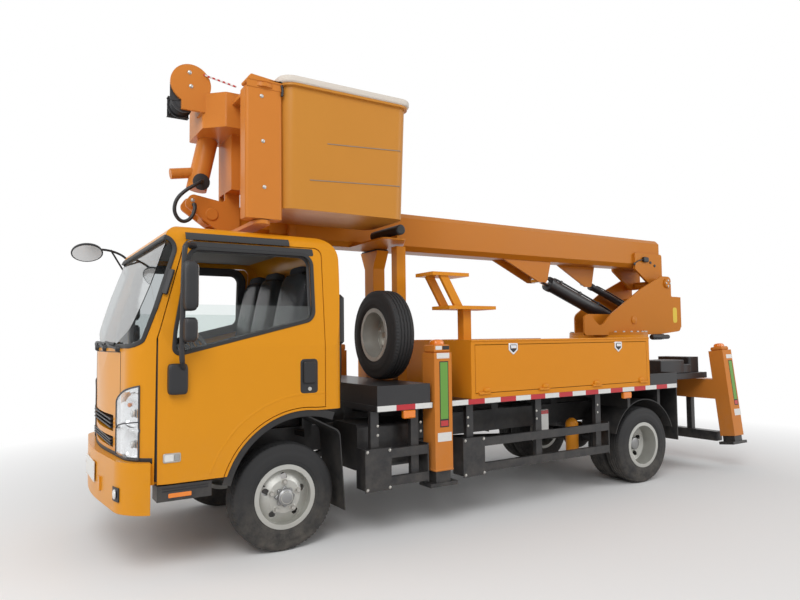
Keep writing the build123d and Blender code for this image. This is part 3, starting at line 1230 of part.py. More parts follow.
def stage(k):
    """Boom stage: chamfered box tube with wear pads at its mouth for the next stage."""
    x0 = BOOM_REAR + k * STAGE_BACK
    x1 = BOOM_FRONT + k * STAGE_OUT
    tube = prism_x(stage_face(k, 0), x0, x1) - prism_x(stage_face(k, BOOM_WALL), x0 - LAP, x1 + LAP)
    if k == BOOM_STAGES - 1:
        return tube
    w = (BOOM_W - (k + 1) * STAGE_STEP) / 2 + PAD_FIT
    h = (BOOM_H - (k + 1) * STAGE_STEP_H) / 2 + PAD_FIT
    room_w = (BOOM_W - k * STAGE_STEP) / 2 - BOOM_WALL + LAP
    room_h = (BOOM_H - k * STAGE_STEP_H) / 2 - BOOM_WALL + LAP
    cw, ch = w - BOOM_CHAMFER - PAD_EDGE, h - BOOM_CHAMFER - PAD_EDGE
    start = x1 - PAD_LENGTH
    tube = tube + block(start, x1, -cw, cw, BOOM_Z + h, BOOM_Z + room_h)
    tube = tube + block(start, x1, -cw, cw, BOOM_Z - room_h, BOOM_Z - h)
    return tube + both(block(start, x1, w, room_w, BOOM_Z - ch, BOOM_Z + ch))


def eye_fin(eye, radius, length, y):
    """Plate under the boom that holds a rod eye."""
    x, z = eye
    points = [(x + length, BOOM_LOW + LAP), (x + radius, z - radius), (x - radius, z - radius),
              (x - 2 * radius, BOOM_LOW + LAP)]
    return prism_y(points, y, y + CHEEK, [0, radius * 2 / 3, radius * 2 / 3, 0])


def build_boom():
    half = BOOM_W / 2
    outer = stage(0) + prism_x(stage_face(0, LAP), BOOM_REAR, BOOM_REAR + BOOM_END)
    ear = [(PIVOT_X - EAR_R, PIVOT_Z - EAR_R / 2), (PIVOT_X - EAR_R, BOOM_Z), (PIVOT_X + FOOT_REACH,
                                                                               BOOM_Z),
           (PIVOT_X + FOOT_REACH, BOOM_LOW - CHEEK), (PIVOT_X + EAR_R, PIVOT_Z - EAR_R * 2 / 3)]
    outer = outer + both(prism_y(ear, half - LAP, half + FOOT_PLATE, [EAR_R / 2, FOOT_PLATE, FOOT_PLATE,
                                                                      FOOT_PLATE, EAR_R / 2]))
    outer = outer + both(eye_fin(LIFT_EYE, LIFT_EYE_R, LIFT_FIN, LIFT_CHEEK_Y))
    outer = outer + eye_fin(LEVEL_EYE, LEVEL_EYE_R + CHEEK, LEVEL_FIN, LEVEL_Y + LEVEL_CHEEK)
    outer = outer - barrel_y(PIVOT_X, -FAR, FAR, PIVOT_Z, PIVOT_R + PIN_FIT)

    root_y = half - BOOM_CHAMFER - FOOT_PLATE
    reach = BASKET_Y1 - BASKET_PLATE_SHORT
    plate = [(BASKET_X0 + BASKET_PLATE_LEAD, root_y), (BASKET_X0 + BASKET_PLATE_LEAD, reach),
             (BASKET_X0 - 2 * BASKET_PAD_R, reach), (BASKET_X0 - BASKET_PLATE_TAIL, root_y)]
    plate = prism_z(plate, BOOM_LOW, BOOM_LOW + BASKET_PLATE, [0, BASKET_PAD_R, BASKET_PAD_R, 0])
    pad_z = BASKET_Z0 - BASKET_PAD_GAP - BASKET_PAD_R
    arm = block(BASKET_X0 - BASKET_ARM, BASKET_X0, BASKET_Y0 + 2 * BASKET_PAD_R, reach, BOOM_LOW + LAP,
                pad_z)
    x = BASKET_X0 - BASKET_ARM / 2
    pad = barrel_y(x, BASKET_Y0 + BASKET_PAD_R, reach + BASKET_PAD_R, pad_z, BASKET_PAD_R)
    add("boom_outer", outer, plate, arm, pad)
    add("boom_mid", stage(1))
    end = BOOM_FRONT + 2 * STAGE_OUT
    tip = stage(2) + prism_x(stage_face(2, LAP), end - BOOM_END, end)
    high = NECK_H / 2
    neck = block(end - LAP, LEVEL_PIN_X, -NECK_HALF, NECK_HALF, LEVEL_PIN_Z - high, LEVEL_PIN_Z + high)
    neck = neck + barrel_y(LEVEL_PIN_X, -NECK_HALF, NECK_HALF, LEVEL_PIN_Z, high)
    add("boom_tip", tip + neck - barrel_y(LEVEL_PIN_X, -BOOM_W, BOOM_W, LEVEL_PIN_Z,
                                          LEVEL_PIN_BORE + PIN_FIT))


def add_cylinder(name, base, eye, y, barrel_r, rod_r, rod_out, eye_r, pin_r, half):
    """Barrel from its base pin and a rod to its eye, both along the line between the pins."""
    length = hypot(eye[0] - base[0], eye[1] - base[1])
    ux, uz = (eye[0] - base[0]) / length, (eye[1] - base[1]) / length
    mouth = length - eye_r - rod_out

    def at(d):
        return base[0] + ux * d, y, base[1] + uz * d

    bottom = barrel_r + GLAND / 2
    pin = barrel_y(base[0], -FAR, FAR, base[1], pin_r + PIN_FIT)
    barrel = rod(at(0), at(mouth), barrel_r) + barrel_y(base[0], y - half, y + half, base[1], eye_r)
    barrel = barrel - rod(at(bottom), at(mouth - GLAND), rod_r + LAP) - rod(at(bottom), at(length),
                                                                            rod_r + PIN_FIT) - pin
    eye_pin = barrel_y(eye[0], -FAR, FAR, eye[1], pin_r)
    stem = rod(at(bottom + BOOM_END), at(length), rod_r) + barrel_y(eye[0], y - half, y + half, eye[1],
                                                                    eye_r)
    add(name + "_barrel", barrel)
    add(name + "_rod", stem - eye_pin)


def build_cylinders():
    add_cylinder("lift", LIFT_BASE, LIFT_EYE, 0, LIFT_BARREL_R, LIFT_ROD_R, LIFT_ROD_OUT, LIFT_EYE_R,
                 LIFT_PIN_R, LIFT_CHEEK_Y - EYE_SIDE)
    add_cylinder("level", LEVEL_BASE, LEVEL_EYE, LEVEL_Y, LEVEL_BARREL_R, LEVEL_ROD_R, LEVEL_ROD_OUT,
                 LEVEL_EYE_R, LEVEL_PIN_R, LEVEL_HALF)


def build_platform():
    """Upright on the levelling pin with its arm, yokes and drive, then the winch, column and basket."""
    inner = NECK_HALF + YOKE_GAP
    outer = inner + UPRIGHT_CHEEK
    low = LEVEL_PIN_Z - UPRIGHT_DROP
    post_z = LEVEL_PIN_Z + UPRIGHT_POST_UP
    nose_z = LEVEL_PIN_Z + NOSE_UP
    cheek = [(UPRIGHT_X0, post_z + LAP), (UPRIGHT_X0, low), (UPRIGHT_X1, low), (UPRIGHT_NOSE, nose_z),
             (UPRIGHT_NOSE - NECK_HALF, nose_z + 2 * NOSE_R), (UPRIGHT_X1, nose_z + NOSE_R),
             (UPRIGHT_X1, post_z + LAP)]
    cheeks = both(prism_y(cheek, inner, outer, [0, UPRIGHT_CHEEK, UPRIGHT_CHEEK, NOSE_R, NOSE_R,
                                                UPRIGHT_CHEEK, 0]))
    post = block(UPRIGHT_X0, UPRIGHT_X1, -outer, UPRIGHT_Y1, post_z, ARM_Z0 + LAP)
    pin = barrel_y(LEVEL_PIN_X, -outer - YOKE_GAP, outer + YOKE_GAP, LEVEL_PIN_Z, LEVEL_PIN_BORE)
    arm = prism_z([(UPRIGHT_X0, ARM_Y0), (ARM_X1, ARM_Y0), (ARM_X1, ARM_Y1 - ARM_CORNER),
                   (ARM_X1 - ARM_CORNER, ARM_Y1), (UPRIGHT_X0, ARM_Y1)],
                  ARM_Z0, ARM_Z1, UPRIGHT_CHEEK)
    top, under = COLUMN_Z1 + YOKE_GAP, COLUMN_Z0 - YOKE_GAP
    yoke = block(SWING_X - YOKE_TOP_R, SWING_X + YOKE_TOP_R, ARM_Y1 - YOKE_TOP_R, SWING_Y, top,
                 top + YOKE)
    yoke = yoke + rod((SWING_X, SWING_Y, top), (SWING_X, SWING_Y, top + YOKE), YOKE_TOP_R)
    yoke = yoke + block(SWING_X - YOKE_LOW_R, SWING_X + YOKE_LOW_R, inner, SWING_Y, under - YOKE, under)
    yoke = yoke + rod((SWING_X, SWING_Y, under - YOKE), (SWING_X, SWING_Y, under), YOKE_LOW_R)
    yoke = yoke + rod((SWING_X, SWING_Y, COLUMN_Z1 - SWING_PIN_IN), (SWING_X, SWING_Y, top + YOKE),
                      SWING_PIN_R)
    yoke = yoke + rod((SWING_X, SWING_Y, under - YOKE), (SWING_X, SWING_Y, COLUMN_Z0 + SWING_PIN_IN),
                      SWING_PIN_R)
    drive_low = HOSE_START[2] - DRIVE_R / 2
    drive = rod((DRIVE_X[0], 0, ARM_Z0 + LAP), (DRIVE_X[1], 0, drive_low), DRIVE_R)
    stub_z = (ARM_Z0 + HOSE_START[2]) / 2 - DRIVE_R
    drive = drive + rod((DRIVE_X[1] - STUB_R, 0, stub_z), (STUB_END, 0, stub_z - STUB_R), STUB_R)
    drive = drive + barrel_y(HOSE_START[0], 0, HOSE_START[1], HOSE_START[2], HOSE_R + HOSE_COLLAR)
    drive = drive + barrel_y(HOSE_END[0], outer - LAP, HOSE_END[1], HOSE_END[2], HOSE_R + HOSE_COLLAR)
    y0, y1 = WINCH_Y - WINCH_WALL / 2, WINCH_Y + WINCH_WALL / 2
    low = ARM_Z1 - WINCH_R
    sheave = barrel_y(WINCH_X, y0, y1, WINCH_Z, WINCH_R) + block(ARM_X1 - WINCH_WALL, WINCH_X + DRUM_R,
                                                                 y0, y1, low, WINCH_Z)
    sheave = sheave + block(ARM_X1 - ARM_CORNER / 2, ARM_X1 + WINCH_WALL / 2, ARM_Y1 - 2 * ARM_CORNER, y1,
                            low, ARM_Z1)
    add("platform_upright", cheeks + post + pin + arm + yoke + drive + sheave)
    drum_x, drum_z = WINCH_X + DRUM_R * 2 / 3, WINCH_Z - DRUM_DROP
    drum = barrel_y(drum_x, y0 - DRUM_LENGTH, y0, drum_z, DRUM_R)
    end = y0 - DRUM_LENGTH
    add("winch", drum + block(drum_x - DRUM_R, drum_x + DRUM_R, end - MOTOR, end + LAP, drum_z - DRUM_R,
                              drum_z + DRUM_R))

    column = block(SWING_X - COLUMN_HALF_X, SWING_X + COLUMN_HALF_X, SWING_Y - COLUMN_HALF_Y,
                   SWING_Y + COLUMN_HALF_Y, COLUMN_Z0, COLUMN_Z1)
    column = fillet(column.edges().filter_by(Axis.Z), COLUMN_CORNER)
    hole = rod((SWING_X, SWING_Y, 0), (SWING_X, SWING_Y, FAR), SWING_PIN_R + PIN_FIT)
    solid = SWING_PIN_IN + YOKE_GAP
    add("platform_column", column - (hole - block(-FAR, FAR, 0, FAR, COLUMN_Z0 + solid,
                                                  COLUMN_Z1 - solid)))
    shell = basket_form(0) - basket_form(BASKET_WALL)
    low = BASKET_Z1 - BASKET_RIM_H
    rim_band = extrude(Pos(0, 0, low) * basket_outline(-BASKET_RIM, 0), amount=BASKET_RIM_H)
    add("basket", shell + rim_band - extrude(Pos(0, 0, low) * basket_outline(BASKET_WALL, 0), amount=FAR))


def basket_outline(inset, taper):
    """Rounded plan of the basket, at its rim or, drawn in by the taper, at its floor."""
    shrink = BASKET_RIM + inset + taper
    x0, x1 = BASKET_X0 + shrink, BASKET_X1 - inset
    y0, y1 = BASKET_Y0 + shrink, BASKET_Y1 - shrink
    return face_of([(x0, y0), (x1, y0), (x1, y1), (x0, y1)], BASKET_CORNER - inset)


def basket_form(inset):
    """Basket body between its floor and its rim."""
    low = Pos(0, 0, BASKET_Z0 + inset) * basket_outline(inset, BASKET_TAPER)
    return loft([low, Pos(0, 0, BASKET_Z1) * basket_outline(inset, 0)])


def build_hose():
    """Short free loop of hose beside the drive housing."""
    route = [HOSE_START, *HOSE_ROUTE, HOSE_END]
    radii = []
    for a, b, c in zip(route[:-2], route[1:-1], route[2:]):
        one, two = Vector(*b) - Vector(*a), Vector(*c) - Vector(*b)
        turn = radians(one.get_angle(two)) / 2
        radii.append(HOSE_ROUND * min(one.length, two.length) * cos(turn) / sin(turn))
    path = FilletPolyline(*route, radius=radii)
    start = Vector(*route[1]) - Vector(*route[0])
    add("hose_loop", sweep(Plane(origin=route[0], z_dir=start) * Circle(HOSE_R), path=path))


build_cab()
build_wheels()
build_axles()
build_chassis()
build_mudguards()
build_deck()
build_toolboxes()
build_side_guards()
build_stands()
build_outriggers()
build_turret()
build_boom()
build_cylinders()
build_platform()
build_hose()

os.makedirs("parts", exist_ok=True)
for name, shape in nodes.items():
    export_step(Pos(SHIFT_X, 0, 0) * shape, "parts/" + name + ".step")
print("nodes", len(nodes), "shift", SHIFT_X)
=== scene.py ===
from math import cos, pi, radians, sin

import bmesh
import bpy
import numpy as np
from mathutils import Matrix, Vector


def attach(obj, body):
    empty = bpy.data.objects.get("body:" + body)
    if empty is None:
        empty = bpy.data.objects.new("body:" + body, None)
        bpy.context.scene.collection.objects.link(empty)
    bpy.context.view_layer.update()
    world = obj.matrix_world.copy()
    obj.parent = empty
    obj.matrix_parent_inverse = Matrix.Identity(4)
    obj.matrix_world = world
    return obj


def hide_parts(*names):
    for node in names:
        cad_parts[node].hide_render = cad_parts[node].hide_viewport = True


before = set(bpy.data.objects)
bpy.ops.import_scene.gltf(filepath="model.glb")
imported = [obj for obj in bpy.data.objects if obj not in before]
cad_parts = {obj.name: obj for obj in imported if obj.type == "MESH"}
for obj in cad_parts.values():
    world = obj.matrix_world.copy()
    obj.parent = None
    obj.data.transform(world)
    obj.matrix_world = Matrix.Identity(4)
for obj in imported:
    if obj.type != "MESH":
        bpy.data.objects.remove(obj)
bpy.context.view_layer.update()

# Lengths are in millimetres: x forward from the front axle, y to the left, z up from the ground.
FRONT_AXLE = 2095
REAR_AXLE = -3815
WHEEL_Z = TYRE_R = 380
FRONT_TRACK, REAR_TRACK, TWIN_STEP = 752, 712, 112.5
SPARE = np.array((-1050, 430, 1525), float)

SCREEN_LOW, SCREEN_TOP = 1465, 2180
CORNER_R, CORNER_X, CORNER_Y = 260.0, 784.45, 670
NOSE_X, NOSE_Z = 1112, 1100
BELT_X, BELT_Z = 1085, 1440
ROOF_X, ROOF_Z = 800, 2270
CAB_HALF, ROOF_HALF, SIDE_BELT = 930, 850, 1450
ARCH_X, ARCH_Z = -124, 390

RING_X = -4400
BOOM_PIVOT, LIFT_FOOT, LEVEL_FOOT = (-5125, 0, 2120), (-4500, 0, 1670), (-4950, -170, 1850)
LEG_LEAN, LEG_TOP = 6.7, np.array((-5180, 925, 1310))
SEAT_LEAN, SEAT_HINGE = -12, (-150, 0, 1345)
DRIVE, DRUM = (412, 0, 2745), (587, 0, 3315)

SIDES = (("left", np.array((1, 1, 1))), ("right", np.array((1, -1, 1))))
CROSS = ((1, 0), (-1, 0), (0, 1), (0, -1))
FINISH = {}


# Surfaces

def unit(v):
    """Vectors divided by their own lengths."""
    return v / np.maximum(np.linalg.norm(v, axis=-1, keepdims=True), 1e-9)


def on_top(g):
    """Outline laid flat: its two measures are x and y, its height is z."""
    return g


def on_side(g):
    """Outline on the truck's side: its two measures are x and z, its height is y."""
    return g[..., [0, 2, 1]]


def on_front(g):
    """Outline on the truck's front: its two measures are y and z, its height is x."""
    return g[..., [2, 0, 1]]


def piece(name, body, look, *grids, flip=1, replaces=(), soft=38):
    """Mesh of grids of points: rows along one parameter, columns round the other, or stacks of such grids.
    Each cell is a four-sided face, and the columns close on themselves. Flip mirrors the right-hand pieces."""
    points, faces, start = [], [], 0
    for grid in grids:
        g = np.asarray(grid, float) * flip
        g = g.reshape((-1,) + g.shape[-3:])
        k, rows, cols = g.shape[:3]
        i, j = np.arange(rows - 1)[:, None] * cols, np.arange(cols)[None, :]
        n = (j + 1) % cols
        cell = np.stack(np.broadcast_arrays(i + j, i + n, i + cols + n, i + cols + j), -1)
        cell = cell.reshape(1, -1, 4) + (np.arange(k) * rows * cols)[:, None, None] + start
        points.append(g.reshape(-1, 3))
        faces.append(cell.reshape(-1, 4))
        start += k * rows * cols
    place = (np.concatenate(points) + (FRONT_AXLE, 0, 0)) / 1000
    mesh = bpy.data.meshes.new(name)
    mesh.from_pydata(place.tolist(), [], np.concatenate(faces).tolist())
    skin = bmesh.new()
    skin.from_mesh(mesh)
    bmesh.ops.remove_doubles(skin, verts=skin.verts, dist=2e-5)
    bmesh.ops.dissolve_degenerate(skin, edges=skin.edges, dist=1e-6)
    bmesh.ops.recalc_face_normals(skin, faces=skin.faces)
    skin.to_mesh(mesh)
    skin.free()
    mesh.shade_smooth()
    mesh.set_sharp_from_angle(angle=radians(soft))
    material, slot = FINISH[look]
    mesh.materials.append(material)
    made = bpy.data.objects.new(name, mesh)
    bpy.context.scene.collection.objects.link(made)
    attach(made, body)
    if replaces:
        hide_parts(*replaces)
    return made


def eased(points, rounds=3):
    """Path with its corners cut: each run gives way to its quarter points, a few times over."""
    p = np.asarray(points, float)
    for _ in range(rounds):
        a, b = p[:-1], p[1:]
        cut = np.stack([0.75 * a + 0.25 * b, 0.25 * a + 0.75 * b], 1).reshape(-1, p.shape[-1])
        p = np.concatenate([p[:1], cut, p[-1:]])
    return p


def circle(radius, sides=12):
    """Round profile: radius times cosine and sine of even steps of angle."""
    a = np.linspace(0, 2 * pi, sides, endpoint=False)
    return np.stack([radius * np.cos(a), radius * np.sin(a)], -1)


def strip(path, profile, up=(0.21, 0.33, 0.92), loop=False):
    """Closed profile carried along a path: each point plus the profile's width along the side direction and its
    height along up. An open path is closed at both ends' middles."""
    path, profile = np.asarray(path, float), np.asarray(profile, float)
    along = unit(np.roll(path, -1, 0) - np.roll(path, 1, 0)) if loop else unit(np.gradient(path, axis=0))
    side = unit(np.cross(along, np.broadcast_to(up, path.shape)))
    lift = np.cross(side, along)
    rows = path[:, None] + profile[None, :, :1] * side[:, None] + profile[None, :, 1:] * lift[:, None]
    if loop:
        return np.concatenate([rows, rows[:1]])
    ends = [np.repeat(row.mean(0)[None], len(profile), 0)[None] for row in (rows[0], rows[-1])]
    return np.concatenate([ends[0], rows, ends[1]])


def tube(points, radius, sides=12, rounds=3):
    """Round bar: a circle carried along the eased path."""
    return strip(eased(points, rounds), circle(radius, sides))


def rounded(corners, radius, steps=5):
    """Outline whose corners are arcs: at each corner the two tangent points are joined along the circle."""
    p = np.asarray(corners, float)
    r = np.maximum(np.broadcast_to(radius, len(p)).astype(float), 0.5)
    back, ahead = unit(np.roll(p, 1, 0) - p), unit(np.roll(p, -1, 0) - p)
    half = np.arccos(np.clip((back * ahead).sum(-1), -1, 1)) / 2
    centre = p + unit(back + ahead) * (r / np.sin(half))[:, None]
    reach = (r / np.tan(half))[:, None]
    a, b = p + back * reach - centre, p + ahead * reach - centre
    turn = (pi - 2 * half)[:, None, None]
    t = np.linspace(0, 1, steps + 1)[None, :, None]
    arc = (np.sin((1 - t) * turn) * a[:, None] + np.sin(t * turn) * b[:, None]) / np.sin(turn)
    return (centre[:, None] + arc).reshape(-1, 2)


def rectangle(u0, u1, v0, v1, radius=4, steps=4):
    """Four corners between two limits each way, with arcs at the corners."""
    return rounded([(u0, v0), (u1, v0), (u1, v1), (u0, v1)], radius, steps)


def level(outline, height):
    """Outline with one height as its third measure."""
    return np.c_[outline, np.full(len(outline), float(height))]


def plate(outline, low, high, lay=on_side, edge=1.5):
    """Closed slab: an outline carried from low to high, its rims eased inwards, each face closed at its middle."""
    o = np.asarray(outline, float)
    run = unit(np.roll(o, -1, 0) - np.roll(o, 1, 0))
    area = (o[:, 0] * np.roll(o[:, 1], -1) - o[:, 1] * np.roll(o[:, 0], -1)).sum()
    inner = o + np.sign(area) * edge * np.stack([-run[:, 1], run[:, 0]], -1)
    mid = np.repeat(o.mean(0)[None], len(o), 0)
    e = np.sign(high - low) * edge
    rows = [(mid, low), (inner, low), (o, low + e), (o, high - e), (inner, high), (mid, high)]
    return lay(np.stack([level(p, h) for p, h in rows]))


def tile(u0, u1, v0, v1, low, high, radius=4, edge=1.5, lay=on_side):
    """Slab with a rounded rectangle as its outline."""
    return plate(rectangle(u0, u1, v0, v1, radius), low, high, lay, edge)


def box(x0, x1, y0, y1, z0, z1, radius=4):
    """Block: a rounded rectangle carried upwards, with its rims eased by the same radius where it fits."""
    return tile(x0, x1, y0, y1, z0, z1, radius, min(radius, 0.45 * abs(z1 - z0)), on_top)


def lathe(profile, centre, axis="y", sides=32):
    """Profile of (along, radius) pairs turned about an axis through the centre."""
    p = np.asarray(profile, float)
    a = np.linspace(0, 2 * pi, sides, endpoint=False)
    along, one, two = np.broadcast_to(p[:, :1], (len(p), sides)), p[:, 1:] * np.cos(a), p[:, 1:] * np.sin(a)
    order = {"x": (along, one, two), "y": (one, along, two), "z": (one, two, along)}[axis]
    return np.stack(order, -1) + np.asarray(centre, float)


def heads(centres, normal, across=24, high=12, sides=6):
    """Bolt heads: a six-sided prism with an eased top at each centre, standing along the normal."""
    n = unit(np.asarray(normal, float))
    one = unit(np.cross(n, (0.3, 0.2, 0.9)))
    two = np.cross(n, one)
    c = circle(across / 1.75, sides)
    rows = np.array([(0, 0), (0, 1.35), (0.15, 1.35), (0.15, 1), (0.85, 1), (1, 0.8), (1, 0)])
    ring = rows[:, 1:, None] * (c[None, :, :1] * one + c[None, :, 1:] * two) + (rows[:, :1, None] * high) * n
    return np.asarray(centres, float).reshape(-1, 1, 1, 3) + ring


def shell(top, depth):
    """Closed sheet: a grid of points and its copy moved by depth, joined round the edges."""
    g = np.asarray(top, float)
    back = g + np.asarray(depth, float)
    rows = np.concatenate([g, back[:, ::-1]], 1)
    ends = [np.concatenate([m, m[::-1]])[None] for m in ((g[0] + back[0]) / 2, (g[-1] + back[-1]) / 2)]
    return np.concatenate([ends[0], rows, ends[1]])


def bowed(t, power):
    """Size of a value raised to a power, with the value's sign."""
    return np.sign(t) * np.abs(t) ** power


def pad(centre, half, power=0.35, rows=26, cols=48):
    """Crowned pad: sphere angles with cosines and sines raised to a power below one, so that faces bow between
    the seams."""
    v = np.linspace(-pi / 2, pi / 2, rows)[:, None]
    u = np.linspace(0, 2 * pi, cols, endpoint=False)[None, :]
    wide = bowed(np.cos(v), power)
    x, y, z = wide * bowed(np.cos(u), power), wide * bowed(np.sin(u), power), bowed(np.sin(v), power)
    g = np.stack(np.broadcast_arrays(x, y, z), -1)
    return np.asarray(centre, float) + g * np.asarray(half, float)


def turned(grid, pivot, degrees, axis="y"):
    """Grid turned about an axis through a pivot."""
    m = np.array(Matrix.Rotation(radians(degrees), 3, axis.upper()))
    return (np.asarray(grid, float) - pivot) @ m.T + pivot


# Cab skin

def plan_x(y):
    """Front of the cab in plan: a long arc in the middle, a straight slope and a corner arc."""
    y = np.abs(y)
    corner = CORNER_X + np.sqrt(np.maximum(CORNER_R ** 2 - np.maximum(y - CORNER_Y, 0) ** 2, 0))
    middle = 1097.4 - y ** 2 / 6000
    return np.where(y > 695.6, corner, np.where(y < 296, middle, NOSE_X - 0.09892 * y))


def front_x(y, z):
    """Front skin: the lesser of the plan curve and the side profile with its raked screen."""
    z = np.asarray(z, float)
    nose = NOSE_X - (NOSE_X - BELT_X) * np.clip((z - NOSE_Z) / (BELT_Z - NOSE_Z), 0, 1)
    screen = BELT_X - (BELT_X - ROOF_X) * (z - BELT_Z) / (ROOF_Z - BELT_Z)
    return np.minimum(plan_x(y), np.where(z < BELT_Z, nose, screen))


def side_y(z):
    """Side skin: upright to the belt, then leaning in towards the roof."""
    rise = np.clip((np.asarray(z, float) - SIDE_BELT) / (ROOF_Z - SIDE_BELT), 0, 1)
    return CAB_HALF - (CAB_HALF - ROOF_HALF) * rise


def on_skin(y, z, out=0.0):
    """Points of the front skin at given widths and heights, moved forward by out."""
    y, z = np.broadcast_arrays(np.asarray(y, float), np.asarray(z, float))
    return np.stack([front_x(y, z) + out, y, z], -1)


def on_flank(g):
    """Outline on the cab's leaning side: its two measures are x and z, its height stands out from the skin."""
    return np.stack([g[..., 0], side_y(g[..., 1]) + g[..., 2], g[..., 1]], -1)


# Materials

def feed(tree, socket, value):
    """Links a socket to another one, or sets its value."""
    if isinstance(value, bpy.types.NodeSocket):
        tree.links.new(value, socket)
    else:
        socket.default_value = value


def node_group(name, inputs, outputs):
    """Empty node group with named sockets, c for a colour and f for a number."""
    tree = bpy.data.node_groups.new(name, "ShaderNodeTree")
    kinds = {"c": "NodeSocketColor", "f": "NodeSocketFloat"}
    for label, kind in inputs:
        tree.interface.new_socket(label, in_out="INPUT", socket_type=kinds[kind])
    for label, kind in outputs:
        tree.interface.new_socket(label, in_out="OUTPUT", socket_type=kinds[kind])
    return tree, tree.nodes.new("NodeGroupInput").outputs, tree.nodes.new("NodeGroupOutput").inputs


def make(tree, kind, **values):
    """New node with its sockets set or linked by name."""
    node = tree.nodes.new(kind)
    for key, value in values.items():
        socket = next((s for s in node.inputs if s.name.lower().replace(" ", "_") == key), None)
        if socket is None:
            setattr(node, key, value)
        else:
            feed(tree, socket, value)
    return node


def math_node(tree, operation, *values):
    """One step of arithmetic on numbers or sockets."""
    node = make(tree, "ShaderNodeMath", operation=operation)
    for socket, value in zip(node.inputs, values):
        feed(tree, socket, value)
    return node.outputs[0]


def mix_colours(tree, factor, first, second):
    """First colour at a factor of nought, second at one."""
    node = make(tree, "ShaderNodeMix", data_type="RGBA")
    for k, value in ((0, factor), (6, first), (7, second)):
        feed(tree, node.inputs[k], value)
    return node.outputs[2]


def object_place(tree):
    """Place on the piece, in the part's own frame."""
    return make(tree, "ShaderNodeTexCoord").outputs["Object"]


def cloudy_group():
    """Slow tone change over a surface: noise about 1, used as the colour's value."""
    inputs = [("Colour", "c"), ("Depth", "f"), ("Scale", "f")]
    tree, get, put = node_group("cloudy tone", inputs, [("Colour", "c"), ("Cloud", "f")])
    noise = make(tree, "ShaderNodeTexNoise", vector=object_place(tree), scale=get["Scale"], detail=5.0,
                 roughness=0.6).outputs[0]
    swing = math_node(tree, "MULTIPLY", math_node(tree, "SUBTRACT", noise, 0.5), get["Depth"])
    value = math_node(tree, "ADD", swing, 1.0)
    tone = make(tree, "ShaderNodeHueSaturation", color=get["Colour"], value=value)
    tree.links.new(tone.outputs[0], put["Colour"])
    tree.links.new(noise, put["Cloud"])
    return tree


def film_group():
    """Road film: strongest near the ground, broken up by noise."""
    inputs = [("Colour", "c"), ("Film", "c"), ("Reach", "f"), ("Amount", "f")]
    tree, get, put = node_group("road film", inputs, [("Colour", "c"), ("Mask", "f")])
    where = object_place(tree)
    height = make(tree, "ShaderNodeSeparateXYZ", vector=where).outputs[2]
    fall = math_node(tree, "SUBTRACT", 1.0, math_node(tree, "DIVIDE", height, get["Reach"]))
    fall = make(tree, "ShaderNodeClamp", value=fall).outputs[0]
    noise = make(tree, "ShaderNodeTexNoise", vector=where, scale=9.0, detail=8.0, roughness=0.7).outputs[0]
    patch = make(tree, "ShaderNodeMapRange", value=noise, from_min=0.35, from_max=0.7).outputs[0]
    mask = math_node(tree, "MULTIPLY", math_node(tree, "MULTIPLY", fall, patch), get["Amount"])
    tree.links.new(mix_colours(tree, mask, get["Colour"], get["Film"]), put["Colour"])
    tree.links.new(mask, put["Mask"])
    return tree


def grain_group():
    """Moulded grain or cast skin: cells and fine noise added into one height."""
    tree, get, put = node_group("moulded grain", [("Scale", "f")], [("Height", "f")])
    where = object_place(tree)
    cells = make(tree, "ShaderNodeTexVoronoi", vector=where, scale=get["Scale"]).outputs["Distance"]
    fine = make(tree, "ShaderNodeTexNoise", vector=where, scale=get["Scale"], detail=3.0).outputs[0]
    tree.links.new(math_node(tree, "ADD", cells, fine), put["Height"])
    return tree


def bands_group():
    """Two colours in turn along x, by the fraction of the distance over the period."""
    inputs = [("First", "c"), ("Second", "c"), ("Period", "f"), ("Shift", "f")]
    tree, get, put = node_group("banded tape", inputs, [("Colour", "c")])
    x = make(tree, "ShaderNodeSeparateXYZ", vector=object_place(tree)).outputs[0]
    turns = math_node(tree, "DIVIDE", math_node(tree, "ADD", x, get["Shift"]), get["Period"])
    half = math_node(tree, "GREATER_THAN", math_node(tree, "FRACT", turns), 0.5)
    tree.links.new(mix_colours(tree, half, get["First"], get["Second"]), put["Colour"])
    return tree


GROUPS = {"cloudy": cloudy_group(), "film": film_group(), "grain": grain_group(), "bands": bands_group()}
ROAD_FILM = (0.33, 0.29, 0.24, 1)


def use_group(tree, which, **values):
    """One of the groups placed in a material, with its inputs set or linked by name."""
    node = make(tree, "ShaderNodeGroup", node_tree=GROUPS[which])
    for key, value in values.items():
        feed(tree, node.inputs[key], value)
    return node.outputs


def new_material(name, slot):
    """Material with its tree and main shader, kept under its name with its slot."""
    material = bpy.data.materials.new(name)
    material.use_nodes = True
    FINISH[name] = (material, slot)
    return material.node_tree, material.node_tree.nodes["Principled BSDF"].inputs


